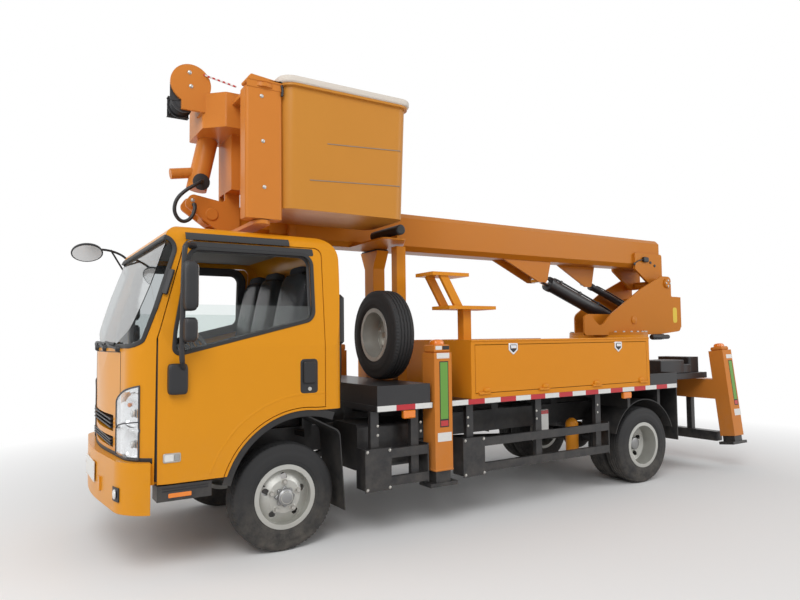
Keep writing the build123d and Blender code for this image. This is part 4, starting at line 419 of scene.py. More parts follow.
def finish(name, slot, colour, rough, metallic=0.0, coat=0.0, cloud=0.06, cloud_scale=2.0, film=0.0, reach=0.9,
           grain=0.0, grain_depth=0.0, ease=0.0, bands=None, specular=0.5):
    """Opaque finish: a cloudy tone under road film, roughness that follows both, grain in the normal and eased
    edges."""
    tree, shader = new_material(name, slot)
    base = colour + (1.0,)
    if bands:
        second, period, shift = bands
        base = use_group(tree, "bands", First=base, Second=second + (1.0,), Period=period, Shift=shift)["Colour"]
    tone = use_group(tree, "cloudy", Colour=base, Depth=cloud, Scale=cloud_scale)
    out = tone["Colour"]
    roughness = math_node(tree, "MULTIPLY_ADD", tone["Cloud"], 0.12, rough - 0.06)
    if film:
        dirt = use_group(tree, "film", Colour=out, Film=ROAD_FILM, Reach=reach, Amount=film)
        out = dirt["Colour"]
        roughness = math_node(tree, "MULTIPLY_ADD", dirt["Mask"], 0.3, roughness)
    tree.links.new(out, shader["Base Color"])
    tree.links.new(roughness, shader["Roughness"])
    shader["Metallic"].default_value = metallic
    shader["Specular IOR Level"].default_value = specular
    shader["Coat Weight"].default_value = coat
    shader["Coat Roughness"].default_value = 0.08
    normal = make(tree, "ShaderNodeBevel", samples=4, radius=ease).outputs[0] if ease else None
    if grain:
        height = use_group(tree, "grain", Scale=grain)["Height"]
        bump = make(tree, "ShaderNodeBump", strength=0.35, distance=grain_depth, height=height)
        if normal:
            tree.links.new(normal, bump.inputs["Normal"])
        normal = bump.outputs[0]
    if normal:
        tree.links.new(normal, shader["Normal"])


def clear_finish(name, slot, colour, rough, ior=1.45, crease=0.0):
    """Glass, lens or film: light passes through, with faint smears in the roughness and creases in a film."""
    tree, shader = new_material(name, slot)
    tone = use_group(tree, "cloudy", Colour=colour + (1.0,), Depth=0.05, Scale=4.0)
    tree.links.new(tone["Colour"], shader["Base Color"])
    tree.links.new(math_node(tree, "MULTIPLY", tone["Cloud"], 2 * rough), shader["Roughness"])
    shader["Transmission Weight"].default_value = 1.0
    shader["IOR"].default_value = ior
    if crease:
        fold = make(tree, "ShaderNodeTexNoise", vector=object_place(tree), scale=28.0, detail=3.0, distortion=1.2)
        bump = make(tree, "ShaderNodeBump", strength=0.8, distance=crease, height=fold.outputs[0])
        tree.links.new(bump.outputs[0], shader["Normal"])


def all_finishes():
    """Paints, plastics, rubber, metals, signs, lenses and glass: slot, colour, roughness and what lies on them."""
    paint = dict(coat=0.05, ease=0.004, grain=900.0, grain_depth=0.00006, specular=0.14)
    finish("cab_yellow", "yellow_paint", (0.70, 0.28, 0.012), 0.30, cloud=0.05, film=0.10, reach=1.0, **paint)
    finish("body_yellow", "yellow_paint", (0.70, 0.255, 0.014), 0.34, film=0.10, reach=1.2, **paint)
    finish("boom_orange", "yellow_paint", (0.55, 0.185, 0.014), 0.36, cloud=0.07, **paint)
    finish("leg_orange", "orange_paint", (0.60, 0.205, 0.034), 0.36, cloud=0.07, film=0.25, **paint)
    finish("basket_gel", "basket_shell", (0.56, 0.235, 0.036), 0.36, coat=0.04, cloud=0.07, ease=0.006,
           grain=500.0, grain_depth=0.0001, specular=0.16)
    finish("rim_pad", "basket_shell", (0.66, 0.60, 0.53), 0.55, cloud=0.12, grain=300.0, grain_depth=0.0004)
    finish("line_grey", "basket_shell", (0.27, 0.25, 0.22), 0.6, cloud=0.2)
    finish("frame_black", "black_paint", (0.012, 0.012, 0.014), 0.42, coat=0.1, cloud=0.3, film=0.22, reach=1.1,
           ease=0.003)
    finish("plastic_black", "black_plastic", (0.011, 0.011, 0.013), 0.48, cloud=0.2, grain=700.0,
           grain_depth=0.0002, ease=0.003)
    finish("arch_black", "black_plastic", (0.013, 0.013, 0.014), 0.6, cloud=0.3, film=0.25, reach=1.0, grain=500.0,
           grain_depth=0.0003)
    finish("visor_black", "black_plastic", (0.008, 0.008, 0.010), 0.22, coat=0.4, cloud=0.15)
    finish("rubber_seal", "black_plastic", (0.010, 0.010, 0.011), 0.55, cloud=0.2)
    finish("hose_black", "hose_rubber", (0.012, 0.012, 0.013), 0.5, cloud=0.2, grain=800.0, grain_depth=0.0002)
    finish("tyre_rubber", "tyre_rubber", (0.016, 0.016, 0.017), 0.72, cloud=0.35, cloud_scale=6.0, film=0.35,
           reach=0.5, grain=420.0, grain_depth=0.0004)
    finish("wheel_silver", "wheel_silver", (0.50, 0.50, 0.47), 0.38, metallic=0.6, cloud=0.15, cloud_scale=8.0,
           film=0.3, reach=0.7, ease=0.003)
    finish("hub_steel", "wheel_silver", (0.30, 0.30, 0.30), 0.4, metallic=0.8, cloud=0.3, cloud_scale=20.0)
    finish("bolt_zinc", "wheel_silver", (0.48, 0.47, 0.44), 0.36, metallic=0.9, cloud=0.2, cloud_scale=30.0)
    finish("chrome", "chrome_rod", (0.75, 0.75, 0.76), 0.12, metallic=1.0, cloud=0.05)
    finish("reflector", "chrome_rod", (0.80, 0.80, 0.80), 0.14, metallic=1.0, cloud=0.1, cloud_scale=30.0)
    finish("iron_cast", "cast_iron", (0.05, 0.05, 0.052), 0.65, metallic=0.4, cloud=0.3, grain=260.0,
           grain_depth=0.0008)
    finish("trim_grey", "interior_plastic", (0.055, 0.056, 0.06), 0.6, cloud=0.2, grain=600.0, grain_depth=0.0003,
           ease=0.006)
    finish("liner_grey", "interior_plastic", (0.36, 0.35, 0.33), 0.8, cloud=0.12, grain=700.0, grain_depth=0.0003)
    finish("seat_cloth", "seat_fabric", (0.035, 0.036, 0.04), 0.85, cloud=0.3, grain=900.0, grain_depth=0.0005)
    finish("sign_yellow", "orange_paint", (0.72, 0.52, 0.03), 0.4, cloud=0.08)
    finish("sign_green", "orange_paint", (0.13, 0.32, 0.045), 0.4, cloud=0.08)
    finish("sign_white", "orange_paint", (0.72, 0.71, 0.68), 0.4)
    finish("tape", "lamp_lens", (0.72, 0.72, 0.70), 0.3, bands=((0.50, 0.02, 0.03), 0.345, 0.118), cloud=0.1,
           cloud_scale=40.0)
    finish("rope_tape", "lamp_lens", (0.72, 0.70, 0.68), 0.4, bands=((0.5, 0.03, 0.03), 0.03, 0.0), cloud=0.1)
    lens = dict(coat=0.6, cloud_scale=60.0)
    finish("amber_lens", "lamp_lens", (0.85, 0.22, 0.01), 0.2, cloud=0.15, **lens)
    finish("red_lens", "lamp_lens", (0.5, 0.01, 0.012), 0.2, cloud=0.15, **lens)
    finish("white_lens", "lamp_lens", (0.72, 0.72, 0.70), 0.2, cloud=0.15, **lens)
    finish("lamp_smoke", "lamp_lens", (0.30, 0.30, 0.29), 0.2, cloud=0.3, **lens)
    clear_finish("lamp_glass", "lamp_lens", (0.96, 0.97, 0.98), 0.02)
    clear_finish("pane", "window_glass", (0.82, 0.87, 0.86), 0.02)
    clear_finish("screen_glass", "window_glass", (0.47, 0.50, 0.51), 0.03, ior=1.2)
    clear_finish("seat_wrap", "window_glass", (0.95, 0.95, 0.95), 0.12, ior=1.2, crease=0.004)


all_finishes()

CAD_FINISH = {
    "cab_yellow": ["cab_shell", "door_left", "door_right", "bumper"],
    "body_yellow": ["toolboxes", "toolbox_door_left", "toolbox_door_right", "boom_rest", "pedestal"],
    "boom_orange": ["turret", "boom_outer", "boom_mid", "boom_tip"],
    "leg_orange": ["rear_outriggers", "platform_upright", "platform_column", "front_beam_left", "front_beam_right"],
    "basket_gel": ["basket"],
    "frame_black": ["chassis_frame", "fuel_and_battery_boxes", "front_axle", "rear_axle", "deck", "side_guards",
                    "knuckle_left", "knuckle_right", "front_jack_left", "front_jack_right", "rear_jack_left",
                    "rear_jack_right", "lift_barrel", "level_barrel", "winch"],
    "plastic_black": ["grille", "front_mirror", "mirror_left", "mirror_right"],
    "arch_black": ["mudguards"],
    "tyre_rubber": ["front_tyre_left", "front_tyre_right", "rear_tyres_left", "rear_tyres_right", "spare_tyre"],
    "wheel_silver": ["front_rim_left", "front_rim_right", "rear_rims_left", "rear_rims_right", "spare_rim"],
    "chrome": ["lift_rod", "level_rod"],
    "iron_cast": ["engine"],
    "trim_grey": ["dashboard"],
    "seat_cloth": ["seats"],
    "pane": ["door_glass_left", "door_glass_right"],
    "screen_glass": ["cab_glass"],
    "lamp_glass": ["headlamps"],
    "hose_black": ["hose_loop"],
}
for finish_name, node_names in CAD_FINISH.items():
    for node in node_names:
        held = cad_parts[node]
        held.data.materials.clear()
        held.data.materials.append(FINISH[finish_name][0])


# Hose loop by the drive housing

def hose_loop():
    """Free loop of hose: a smooth spline with the route's points as its control points."""
    route = [(412, 115, 2745), (412, 190, 2745), (470, 235, 2700), (560, 240, 2640), (630, 230, 2560),
             (640, 215, 2460), (575, 205, 2390), (495, 205, 2440), (470, 195, 2560), (470, 115, 2560)]
    curve = bpy.data.curves.new("drive_hose", "CURVE")
    curve.dimensions = "3D"
    line = curve.splines.new("NURBS")
    line.points.add(len(route) - 1)
    spots = (np.array(route, float) + (FRONT_AXLE, 0, 0)) / 1000
    line.points.foreach_set("co", np.c_[spots, np.ones(len(spots))].ravel())
    line.order_u = 3
    line.use_endpoint_u = True
    line.resolution_u = 12
    curve.bevel_depth = 0.014
    curve.bevel_resolution = 6
    curve.use_fill_caps = True
    curve.materials.append(FINISH["hose_black"][0])
    hose = bpy.data.objects.new("drive_hose", curve)
    bpy.context.scene.collection.objects.link(hose)
    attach(hose, "upright")
    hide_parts("hose_loop")


hose_loop()


# Wheels

def tyre_grid():
    """Ring of a road tyre: radius by place across the section, lowered by four wandering grooves and shoulder
    notches."""
    turn = np.linspace(0, 2 * pi, 240, endpoint=False)[None, :]
    wall = np.array([(75, 206), (83, 210), (88, 222), (92, 236), (95, 246), (95.5, 252), (98.5, 255), (99.5, 285),
                     (99, 306), (96.5, 310), (96, 330), (92, 350), (87, 364)], float)
    y = np.concatenate([-wall[:, 0], np.linspace(-80, 80, 65), wall[::-1, 0]])[:, None]
    crown = TYRE_R - 7 * (np.abs(y) / 80) ** 4
    r = np.concatenate([wall[:, 1:], crown[len(wall):-len(wall)], wall[::-1, 1:]])
    wander = 2.2 * np.abs(((turn / (2 * pi) * 40) % 1) * 2 - 1) - 1.1
    groove = sum(np.clip((6.0 - np.abs(y - mid - wander)) / 1.8, 0, 1) for mid in (-45, -15, 15, 45))
    notch = np.clip(((turn / (2 * pi) * 80) % 1 - 0.55) * 9, 0, 1)
    notch = notch * np.clip((np.abs(y) - 62) / 4, 0, 1) * (np.abs(y) < 81)
    r = r - 9.5 * np.minimum(groove, 1) * (np.abs(y) < 62) - 5 * notch
    return np.stack([r * np.cos(turn), np.broadcast_to(y, r.shape), r * np.sin(turn)], -1)


def stud_ring(count, y, start=0.0):
    """Places of wheel nuts: even steps of angle on a circle about the axle."""
    a = np.linspace(0, 2 * pi, count, endpoint=False) + start
    return np.stack([104 * np.cos(a), np.full(count, float(y)), 104 * np.sin(a)], -1)


def wheels():
    """Treads, nuts and hubs: turned profiles about each axle, and a flange whose radius swings eight times round."""
    ring = tyre_grid()
    closed = np.concatenate([ring, ring[:1]])
    front, rear = np.array((0, FRONT_TRACK, WHEEL_Z)), np.array((REAR_AXLE, REAR_TRACK, WHEEL_Z))
    twins = np.stack([closed + rear + (0, TWIN_STEP, 0), closed + rear - (0, TWIN_STEP, 0)])
    front_nuts, rear_nuts = stud_ring(5, 73, 0.31) + front, stud_ring(6, -100) + rear
    washers = lathe([(0, 0), (0, 26), (3, 26), (5, 20), (5, 0)], (0, 0, 0)) + front_nuts.reshape(-1, 1, 1, 3)
    a = np.linspace(0, 2 * pi, 96, endpoint=False)
    lobe = 66 + 8 * np.cos(8 * a)
    flange = plate(np.stack([lobe * np.cos(a), lobe * np.sin(a)], -1), 74, 90, on_side, 3) + front
    cap = lathe([(88, 0), (88, 58), (112, 57), (116, 52), (122, 40), (130, 38), (133, 30), (134, 0)], front, sides=48)
    hub = lathe([(-98, 0), (-98, 78), (-60, 76), (-52, 66), (96, 64), (104, 58), (108, 46), (110, 0)], rear, sides=48)
    valve = tube([front + (150, 30, 90), front + (158, 60, 95), front + (150, 86, 90)], 5, 8)
    for name, flip in SIDES:
        fore, aft = "front_wheel_" + name, "rear_wheels_" + name
        piece("front_tread_" + name, fore, "tyre_rubber", closed + front, flip=flip, replaces=["front_tyre_" + name])
        piece("rear_tread_" + name, aft, "tyre_rubber", twins, flip=flip, replaces=["rear_tyres_" + name])
        piece("front_nuts_" + name, fore, "bolt_zinc", heads(front_nuts + (0, 4, 0), (0, 1, 0), 30, 24), washers,
              flip=flip)
        piece("front_hub_" + name, fore, "hub_steel", flange, cap, flip=flip)
        piece("rear_nuts_" + name, aft, "bolt_zinc", heads(rear_nuts, (0, 1, 0), 30, 30), flip=flip)
        piece("rear_hub_" + name, aft, "hub_steel", hub, flip=flip)
        piece("front_valve_" + name, fore, "rubber_seal", valve, flip=flip)
    piece("spare_tread", "root", "tyre_rubber", turned(closed, np.zeros(3), -90, "z") + SPARE,
          replaces=["spare_tyre"])


# Cab glazing and trim

def skin_normal(y, z):
    """Normal of the front skin, from its slopes across and up."""
    across = (front_x(y + 2, z) - front_x(y - 2, z)) / 4
    rise = (front_x(y, z + 2) - front_x(y, z - 2)) / 4
    return unit(np.stack([np.ones_like(across), -across, -rise], -1))


def screen_edge():
    """Left half of the windscreen's edge: along its sill, round the lower corner, up the raked line and along the
    top. With it come the outward normals."""
    z = np.linspace(SCREEN_LOW, SCREEN_TOP - 3, 90)
    line = 973 - 228 * (z - SCREEN_LOW) / (SCREEN_TOP - SCREEN_LOW)
    line = np.where(z > 2076, 854.2 - np.sqrt(np.maximum(6400 - (z - 2100.3) ** 2, 0)), line)
    reach = CORNER_Y + np.sqrt(CORNER_R ** 2 - np.clip(line - CORNER_X, 0, CORNER_R) ** 2)
    corner = 760 + np.sqrt(np.maximum(160.0 ** 2 - np.maximum(SCREEN_LOW + 160 - z, 0) ** 2, 0))
    y = np.minimum(np.minimum(reach, corner), side_y(z))
    x = np.where((corner < reach) & (z < SCREEN_LOW + 160), front_x(y, z), line)
    normal = np.where((reach > side_y(z))[:, None], (0.25, 0.96, 0.09), skin_normal(y, z))
    sill, top = np.linspace(0, y[0], 24)[:-1], np.linspace(y[-1], 0, 24)[1:]
    path = np.concatenate([on_skin(sill, SCREEN_LOW), np.stack([x, y, z], -1), on_skin(top, SCREEN_TOP)])
    ends = skin_normal(sill, SCREEN_LOW + 0 * sill), skin_normal(top, SCREEN_TOP + 0 * top)
    return path, np.concatenate([ends[0], normal, ends[1]])


def glazing():
    """Seals, linings and visors: profiles carried along the windows' outlines on the cab's skin, and a hood that
    swells by a sine as it falls."""
    path, normal = screen_edge()
    mirror = SIDES[1][1]
    whole = np.concatenate([path, (path * mirror)[::-1][1:-1]])
    up = np.concatenate([normal, (normal * mirror)[::-1][1:-1]])
    piece("screen_seal", "root", "rubber_seal", strip(whole, rectangle(-15, 15, -14, 6, 5), up, True))

    corners = [(790, 1400), (775, 1560), (672, 2112), (-195, 2112), (-195, 1640)]
    window = rounded(corners, [40, 70, 80, 80, 80], 10)
    edge, inner = on_flank(level(window, 0)), on_flank(level(window, -58))
    lean = np.broadcast_to((0, 0.995, 0.097), edge.shape)
    seal = strip(edge, rectangle(-13, 13, -16, 7, 5), lean, True)
    lining = strip(inner, rectangle(-56, 18, -5, 5, 3), lean, True)
    fall = np.linspace(0, 1, 7)[None, :]
    drop = 2216 - 48 * fall
    swell = side_y(drop) + 3 + 20 * np.sin(fall * 1.4)
    hood = np.stack(np.broadcast_arrays(np.linspace(705, -20, 30)[:, None], swell, drop), -1)
    brow = rounded([(690, 2106), (672, 2158), (-205, 2158), (-212, 2106)], 12)
    mid = np.repeat(brow.mean(0)[None], len(brow), 0)
    brow = on_flank(np.stack([level(mid, -3), level(brow, -3), level(brow, 3), level(mid, 3)]))
    gap = tube([(874, 889, 610), (874, 889, 1440), (862, 887, 1530), (694, 838, 2140)], 20, 10, 2)
    vent = strip([(796, 890, 1960), (820, 897, 1880), (845, 904, 1800)], rectangle(-21, 21, -14, 9, 8),
                 (0.45, 0.88, 0.1))
    for name, flip in SIDES:
        door = "door_" + name
        piece("window_seal_" + name, door, "rubber_seal", seal, flip=flip)
        piece("rain_visor_" + name, "root", "visor_black", shell(hood, (0, -3, -2)), flip=flip)
        piece("window_brow_" + name, door, "visor_black", brow, flip=flip)
        piece("door_lining_" + name, door, "trim_grey", lining, flip=flip)
        piece("pillar_seal_" + name, "root", "rubber_seal", gap, flip=flip)
        piece("pillar_vent_" + name, "root", "plastic_black", vent, flip=flip)

    light = rounded([(-560, 1540), (-520, 2020), (520, 2020), (560, 1540)], 70, 8)
    rear = on_front(level(light, -415))
    piece("rear_window_seal", "root", "rubber_seal", strip(rear, rectangle(-14, 14, -12, 6, 5), (-1, 0, 0), True))


def wipers():
    """Three wipers: arms and blades carried along the skin's curve, and a turned cap on each spindle."""
    arms, blades = [], []
    spindle_z = 1447
    for base in (560, 150, -260):
        run = on_skin(np.linspace(base, base - 360, 14), spindle_z + 36 * np.linspace(0, 1, 14), 16)
        arms.append(strip(run, rectangle(-8, 8, -4, 4, 3), (1, 0, 0.2)))
        run = on_skin(np.linspace(base - 90, base - 520, 18), 1480 + 12 * np.linspace(0, 1, 18), 8)
        blades.append(strip(run, rectangle(-9, 9, -9, 6, 3), (1, 0, 0.2)))
        spindle = (front_x(base, spindle_z), base, spindle_z)
        blades.append(lathe([(-10, 0), (-10, 26), (10, 24), (24, 16), (28, 0)], spindle, "x", 24))
    piece("wipers", "root", "plastic_black", *arms, *blades)


def headlamps():
    """Lamps: a lens grid that follows the skin, bowls that deepen with the square of the distance from each bulb,
    and frames carried along the lens's edges."""
    u, v = np.linspace(0, 1, 40)[:, None], np.linspace(0, 1, 48)[None, :]
    low, top = 747, 1092 + 118 * u ** 0.6
    z = low + (top - low) * v
    y = np.broadcast_to(528 + 320 * u, z.shape)
    x = front_x(y, z)
    lens = np.stack([x + 7 - 4 * (np.abs(z - 930) < 6), y, z], -1)
    near = np.minimum(np.hypot(y - 742, z - 1030), np.hypot(y - 742, (z - 832) * 1.05))
    deep = x - 52 + 34 * np.clip(near / 104, 0, 1) ** 2
    bowl = np.stack([np.where((y < 640) | (z > 1165), x + 1.5, deep), y, z], -1)
    bulbs = [pad((996, 742, 1030), (16, 26, 26), 1.0, 14, 24), pad((996, 742, 832), (16, 24, 24), 1.0, 14, 24)]
    rim = np.concatenate([lens[:, 0], lens[-1, 1:], lens[::-1, -1][1:], lens[0, ::-1][1:-1]])
    rim = strip(rim, rectangle(-5, 5, -8, 3, 2), (1, 0, 0), True)
    band = strip(lens[:, 24] + (1, 0, 0), rectangle(-4, 4, -6, 3, 2), (1, 0, 0))
    y = np.linspace(690, 790, 10)[:, None]
    fog = np.stack(np.broadcast_arrays(plan_x(0.97 * y) + 57, y, np.linspace(486, 574, 6)[None, :]), -1)
    fog_glass = lathe([(0, 0), (0, 32), (8, 30), (13, 18), (14, 0)], (plan_x(718.0) + 58, 740, 530), "x", 28)
    for name, flip in SIDES:
        held = ["headlamps"] if name == "left" else ()
        piece("lamp_lens_" + name, "root", "lamp_glass", shell(lens, (-4, 0, 0)), flip=flip, replaces=held)
        piece("lamp_bowls_" + name, "root", "reflector", shell(bowl, (-3, 0, 0)), flip=flip)
        piece("lamp_bulbs_" + name, "root", "white_lens", *bulbs, flip=flip)
        piece("lamp_turn_" + name, "root", "amber_lens", pad((1010, 690, 1082), (12, 15, 15), 1.0, 12, 20), flip=flip)
        piece("lamp_frame_" + name, "root", "trim_grey", rim, band, flip=flip)
        piece("fog_pocket_" + name, "root", "plastic_black", shell(fog + (2.5, 0, 0), (-6, 0, 0)), flip=flip)
        piece("fog_glass_" + name, "root", "white_lens", fog_glass, flip=flip)


def cab_front():
    """Front lid seams, wipers, headlamps, bumper gap and number plate: thin profiles carried along the skin."""
    z = np.linspace(1010, 1425, 12)
    seams = [on_skin(y, z, -1.5) for y in (-600, 600)] + [on_skin(np.linspace(-600, 600, 40), z[-1], -1.5)]
    piece("lid_seams", "root", "rubber_seal", *[strip(p, circle(3.5, 8), (0.3, 0.2, 0.9)) for p in seams])
    wipers()
    headlamps()
    y, z = np.linspace(-900, 900, 90), np.full(90, 741.0)
    gap = strip(np.stack([plan_x(y), y, z], -1), rectangle(-18, 18, -8, 3, 3), skin_normal(y, z))
    piece("bumper_gap", "root", "rubber_seal", gap)
    piece("number_plate_front", "root", "sign_white", tile(-220, 220, 520, 660, 1155, 1161, 8, lay=on_front))


def arch(radius, first, last, steps, y):
    """Arc over the front wheel, on the truck's side."""
    a = np.radians(np.linspace(first, last, steps))
    return np.stack([ARCH_X + radius * np.cos(a), np.full(steps, float(y)), ARCH_Z + radius * np.sin(a)], -1)


def doors():
    """Handles, side lamps, mirrors, steps and the pressed flare over the wheel arch: slabs, crowned pads, bars
    along paths, and a ridge and a lip carried along arcs."""
    flare = np.concatenate([arch(716, 19, 89, 40, 929), [(-190, 929, 1106), (-262, 929, 1106)]])
    ridge = [(-17, -3), (-9, 1.6), (0, 4.2), (9, 1.6), (17, -3), (0, -6)]
    lip = strip(arch(582, 14, 112, 50, 912), rectangle(-30, 30, -9, 9, 6), (0, 1, 0))
    recess = tile(-216, -80, 1106, 1355, 924, 933, 28, 4)
    lever = tile(-196, -102, 1178, 1336, 932, 949, 16, 7)
    lock = lathe([(932, 0), (932, 15), (938, 14), (939, 0)], (-150, 0, 1140), "y", 20)
    bar = [(722, 945, 1300), (752, 1005, 1345), (756, 1010, 1450), (745, 1010, 2080), (728, 992, 2118),
           (645, 872, 2126)]
    mirrors = [pad((716, 1034, 1845), (42, 72, 160), 0.36), pad((716, 1032, 1565), (40, 66, 78), 0.4)]
    mirrors += [tube([(700, 1034, z), (752, 1012, z)], 15, 12, 1) for z in (1800, 1900, 1565)]
    mirrors += [tube(bar, 17, 14), pad((766, 948, 1251), (60, 34, 99), 0.3)]
    glass = [tile(975, 1093, 1705, 1985, 672, 676, 34, lay=on_front),
             tile(980, 1086, 1502, 1628, 674, 678, 30, lay=on_front)]
    for name, flip in SIDES:
        door = "door_" + name
        piece("arch_flare_" + name, door, "cab_yellow", strip(flare, ridge, (0, 1, 0)), flip=flip, soft=60)
        piece("arch_lip_" + name, "root", "arch_black", lip, flip=flip)
        piece("door_handle_" + name, door, "plastic_black", recess, lever, flip=flip)
        piece("door_lock_" + name, door, "bolt_zinc", lock, flip=flip)
        piece("side_lamp_frame_" + name, door, "bolt_zinc", tile(738, 848, 722, 782, 926, 934, 12, 3), flip=flip)
        piece("side_lamp_" + name, door, "white_lens", tile(782, 840, 730, 774, 932, 940, 8, 4), flip=flip)
        piece("side_flasher_" + name, door, "lamp_smoke", tile(746, 780, 730, 774, 932, 940, 8, 4), flip=flip)
        piece("mirror_heads_" + name, door, "plastic_black", *mirrors, flip=flip, replaces=["mirror_" + name])
        piece("mirror_glass_" + name, door, "reflector", *glass, flip=flip)
        piece("step_reflector_" + name, "root", "amber_lens", tile(668, 812, 500, 528, 917, 925, 6, 3), flip=flip)
        slots = [tile(560, 850, z, z + 8, 917, 922, 3, 1) for z in (540, 556)]
        piece("step_treads_" + name, "root", "plastic_black", *slots, flip=flip)


def front_mirror():
    """Round mirror on the right door's bar: a turned dish and face tipped to look down, and two bent bars."""
    rows = [(-50, 0), (-50, 40), (-47, 66), (-38, 94), (-18, 120), (-4, 126), (3, 125), (4, 118), (0, 116), (0, 0)]
    dish = lathe(rows, (0, 0, 0), "z", 56)
    face = lathe([(0.5, 0), (0.5, 115), (2.5, 115), (9, 60), (11, 0)], (0, 0, 0), "z", 56)
    dish, face = (turned(g, np.zeros(3), -150, "x") + np.array((1104, -950, 2264)) for g in (dish, face))
    arm = tube([(745, -1037, 2065), (745, -1037, 2236), (915, -990, 2312), (1104, -968, 2296)], 10, 12)
    brace = tube([(745, -1037, 2050), (790, -1034, 2115), (912, -992, 2308)], 8, 12)
    sleeve = lathe([(2030, 15), (2030, 23), (2092, 23), (2092, 15)], (745, -1010, 0), "z", 24)
    piece("front_mirror_back", "door_right", "plastic_black", dish, arm, brace, sleeve, replaces=["front_mirror"])
    piece("front_mirror_glass", "door_right", "reflector", face)


def cab_inside():
    """Padded seats, their clear wrap, the head lining and controls: crowned pads leaned back about the seat hinge,
    blocks and bars."""
    seats, bases, wraps = [], [], []
    for y0, y1 in ((170, 690), (-780, -365), (-355, 60)):
        mid, half = (y0 + y1) / 2, (y1 - y0) / 2
        back = pad((0, mid, 340), (62, half - 8, 330), 0.36)
        rest = pad((0, mid, 690), (48, min(half - 60, 150), 48), 0.45)
        wrap = pad((0, mid, 345), (68, half - 4, 342), 0.36)
        back, rest, wrap = (turned(g, (0, mid, 0), SEAT_LEAN) + SEAT_HINGE for g in (back, rest, wrap))
        seats += [pad((75, mid, 1325), (268, half, 80), 0.34), back, rest]
        wraps.append(wrap)
        bases.append(box(-165, 305, y0 + 15, y1 - 15, 1031, 1252, 18))
    piece("seat_pads", "root", "seat_cloth", *seats, replaces=["seats"])
    piece("seat_bases", "root", "trim_grey", *bases)
    piece("seat_wraps", "root", "seat_wrap", *wraps)
    piece("head_lining", "root", "liner_grey", box(-330, 700, -770, 770, 2206, 2216, 60))
    piece("gear_lever", "root", "plastic_black", tube([(420, 110, 1040), (440, 110, 1250), (400, 110, 1400)], 11),
          pad((398, 110, 1420), (24, 24, 30), 0.8, 14, 24))
    piece("dash_panels", "root", "plastic_black", box(596, 640, 290, 570, 1432, 1470, 16),
          box(640, 668, -120, 140, 1300, 1420, 10))
    piece("air_intake", "root", "plastic_black", box(-498, -432, 690, 812, 1447, 1835, 26),
          tube([(-462, 750, 1460), (-462, 750, 1300), (-470, 720, 1140)], 30, 20))


# Deck, toolboxes and outriggers

def deck_trim():
    """Tape, markers, latches, hinge covers and bolts on both sides, then what stands on and hangs under the deck:
    slabs, crowned pads and turned profiles."""
    guard = np.array([(-52, 44), (52, 44), (52, -18), (0, -60), (-52, -18)])
    cup = np.array([(-36, 30), (36, 30), (36, -12), (0, -40), (-36, -12)])
    tapes = [tile(x0, x1, 942, 984, 999, 1001.5, 2, 0.5) for x0, x1 in ((-1166, -668), (-4272, -1358))]
    marks = [tile(x0, x1, 874, 938, 958, 1002, 10, 8) for x0, x1 in ((-1011, -902), (-3556, -3440))]
    knobs = [pad((x, 1004, 1052), (34, 11, 17), 0.6, 14, 24) for x in (-1720, -2390, -3050, -3700)]
    lip = strip([(-3838, 1002, 1466), (-1562, 1002, 1466)], rectangle(-5, 5, -8, 6, 3), (0, 0, 1))
    bolts = [(x, 985, z) for x in (-780, -588, -1690, -1498) for z in (370, 648)]
    hung = [(x, 943, z) for x in (-1090, -700, -3120, -2330, -1560) for z in (760, 830)]
    for name, flip in SIDES:
        lid = "toolbox_door_" + name
        piece("deck_tape_" + name, "root", "tape", *tapes, flip=flip)
        piece("side_markers_" + name, "root", "amber_lens", *marks, flip=flip)
        for k, (x, z) in enumerate([(-2019, 1397), (-3373, 1391)]):
            end = "_%d_%s" % (k, name)
            piece("latch_plate" + end, lid, "chrome", plate(rounded(guard + (x, z), 12), 998, 1006, edge=2.5),
                  flip=flip)
            piece("latch_cup" + end, lid, "plastic_black", plate(rounded(cup + (x, z), 8), 1004, 1007.5, edge=1),
                  flip=flip)
            piece("latch_flap" + end, lid, "chrome", tile(x - 30, x + 30, z - 4, z + 24, 1006, 1013, 6, 3), flip=flip)
        piece("hinge_covers_" + name, lid, "body_yellow", *knobs, flip=flip)
        piece("box_lip_" + name, "root", "body_yellow", lip, flip=flip)
        piece("guard_bolts_" + name, "root", "bolt_zinc", heads(bolts, (0, 1, 0), 17, 8), flip=flip)
        piece("hanger_bolts_" + name, "root", "bolt_zinc", heads(hung, (0, 1, 0), 15, 7), flip=flip)
    piece("rest_pad", "root", "rubber_seal", box(-1273, -1157, -150, 150, 2295, 2311, 6))
    rows = [(330, 0), (330, 55), (342, 62), (640, 62), (668, 50), (690, 22), (694, 0)]
    piece("wheel_chock", "root", "body_yellow", lathe(rows, (-3022, 700, 0), "z", 32))
    piece("notice_box", "root", "sign_white", box(-2617, -2509, 775, 800, 591, 812, 6))
    piece("notice_head", "root", "red_lens", tile(-2612, -2514, 772, 806, 799, 801.5, 3, 0.5))
    _, y, z = SPARE
    stud = lathe([(-1140, 0), (-1140, 26), (-1052, 26), (-1052, 0)], (0, y, z), "x", 24)
    disc = lathe([(-1094, 0), (-1094, 70), (-1086, 70), (-1086, 0)], (0, y, z), "x", 32)
    nuts = heads([(-1086, y + 45 * c, z + 45 * d) for c, d in CROSS], (1, 0, 0), 24, 14)
    piece("spare_clamp", "root", "bolt_zinc", stud, disc, nuts)


def leaned(grid):
    """Grid turned with the lean of the rear legs."""
    return turned(grid, LEG_TOP, LEG_LEAN, "x")


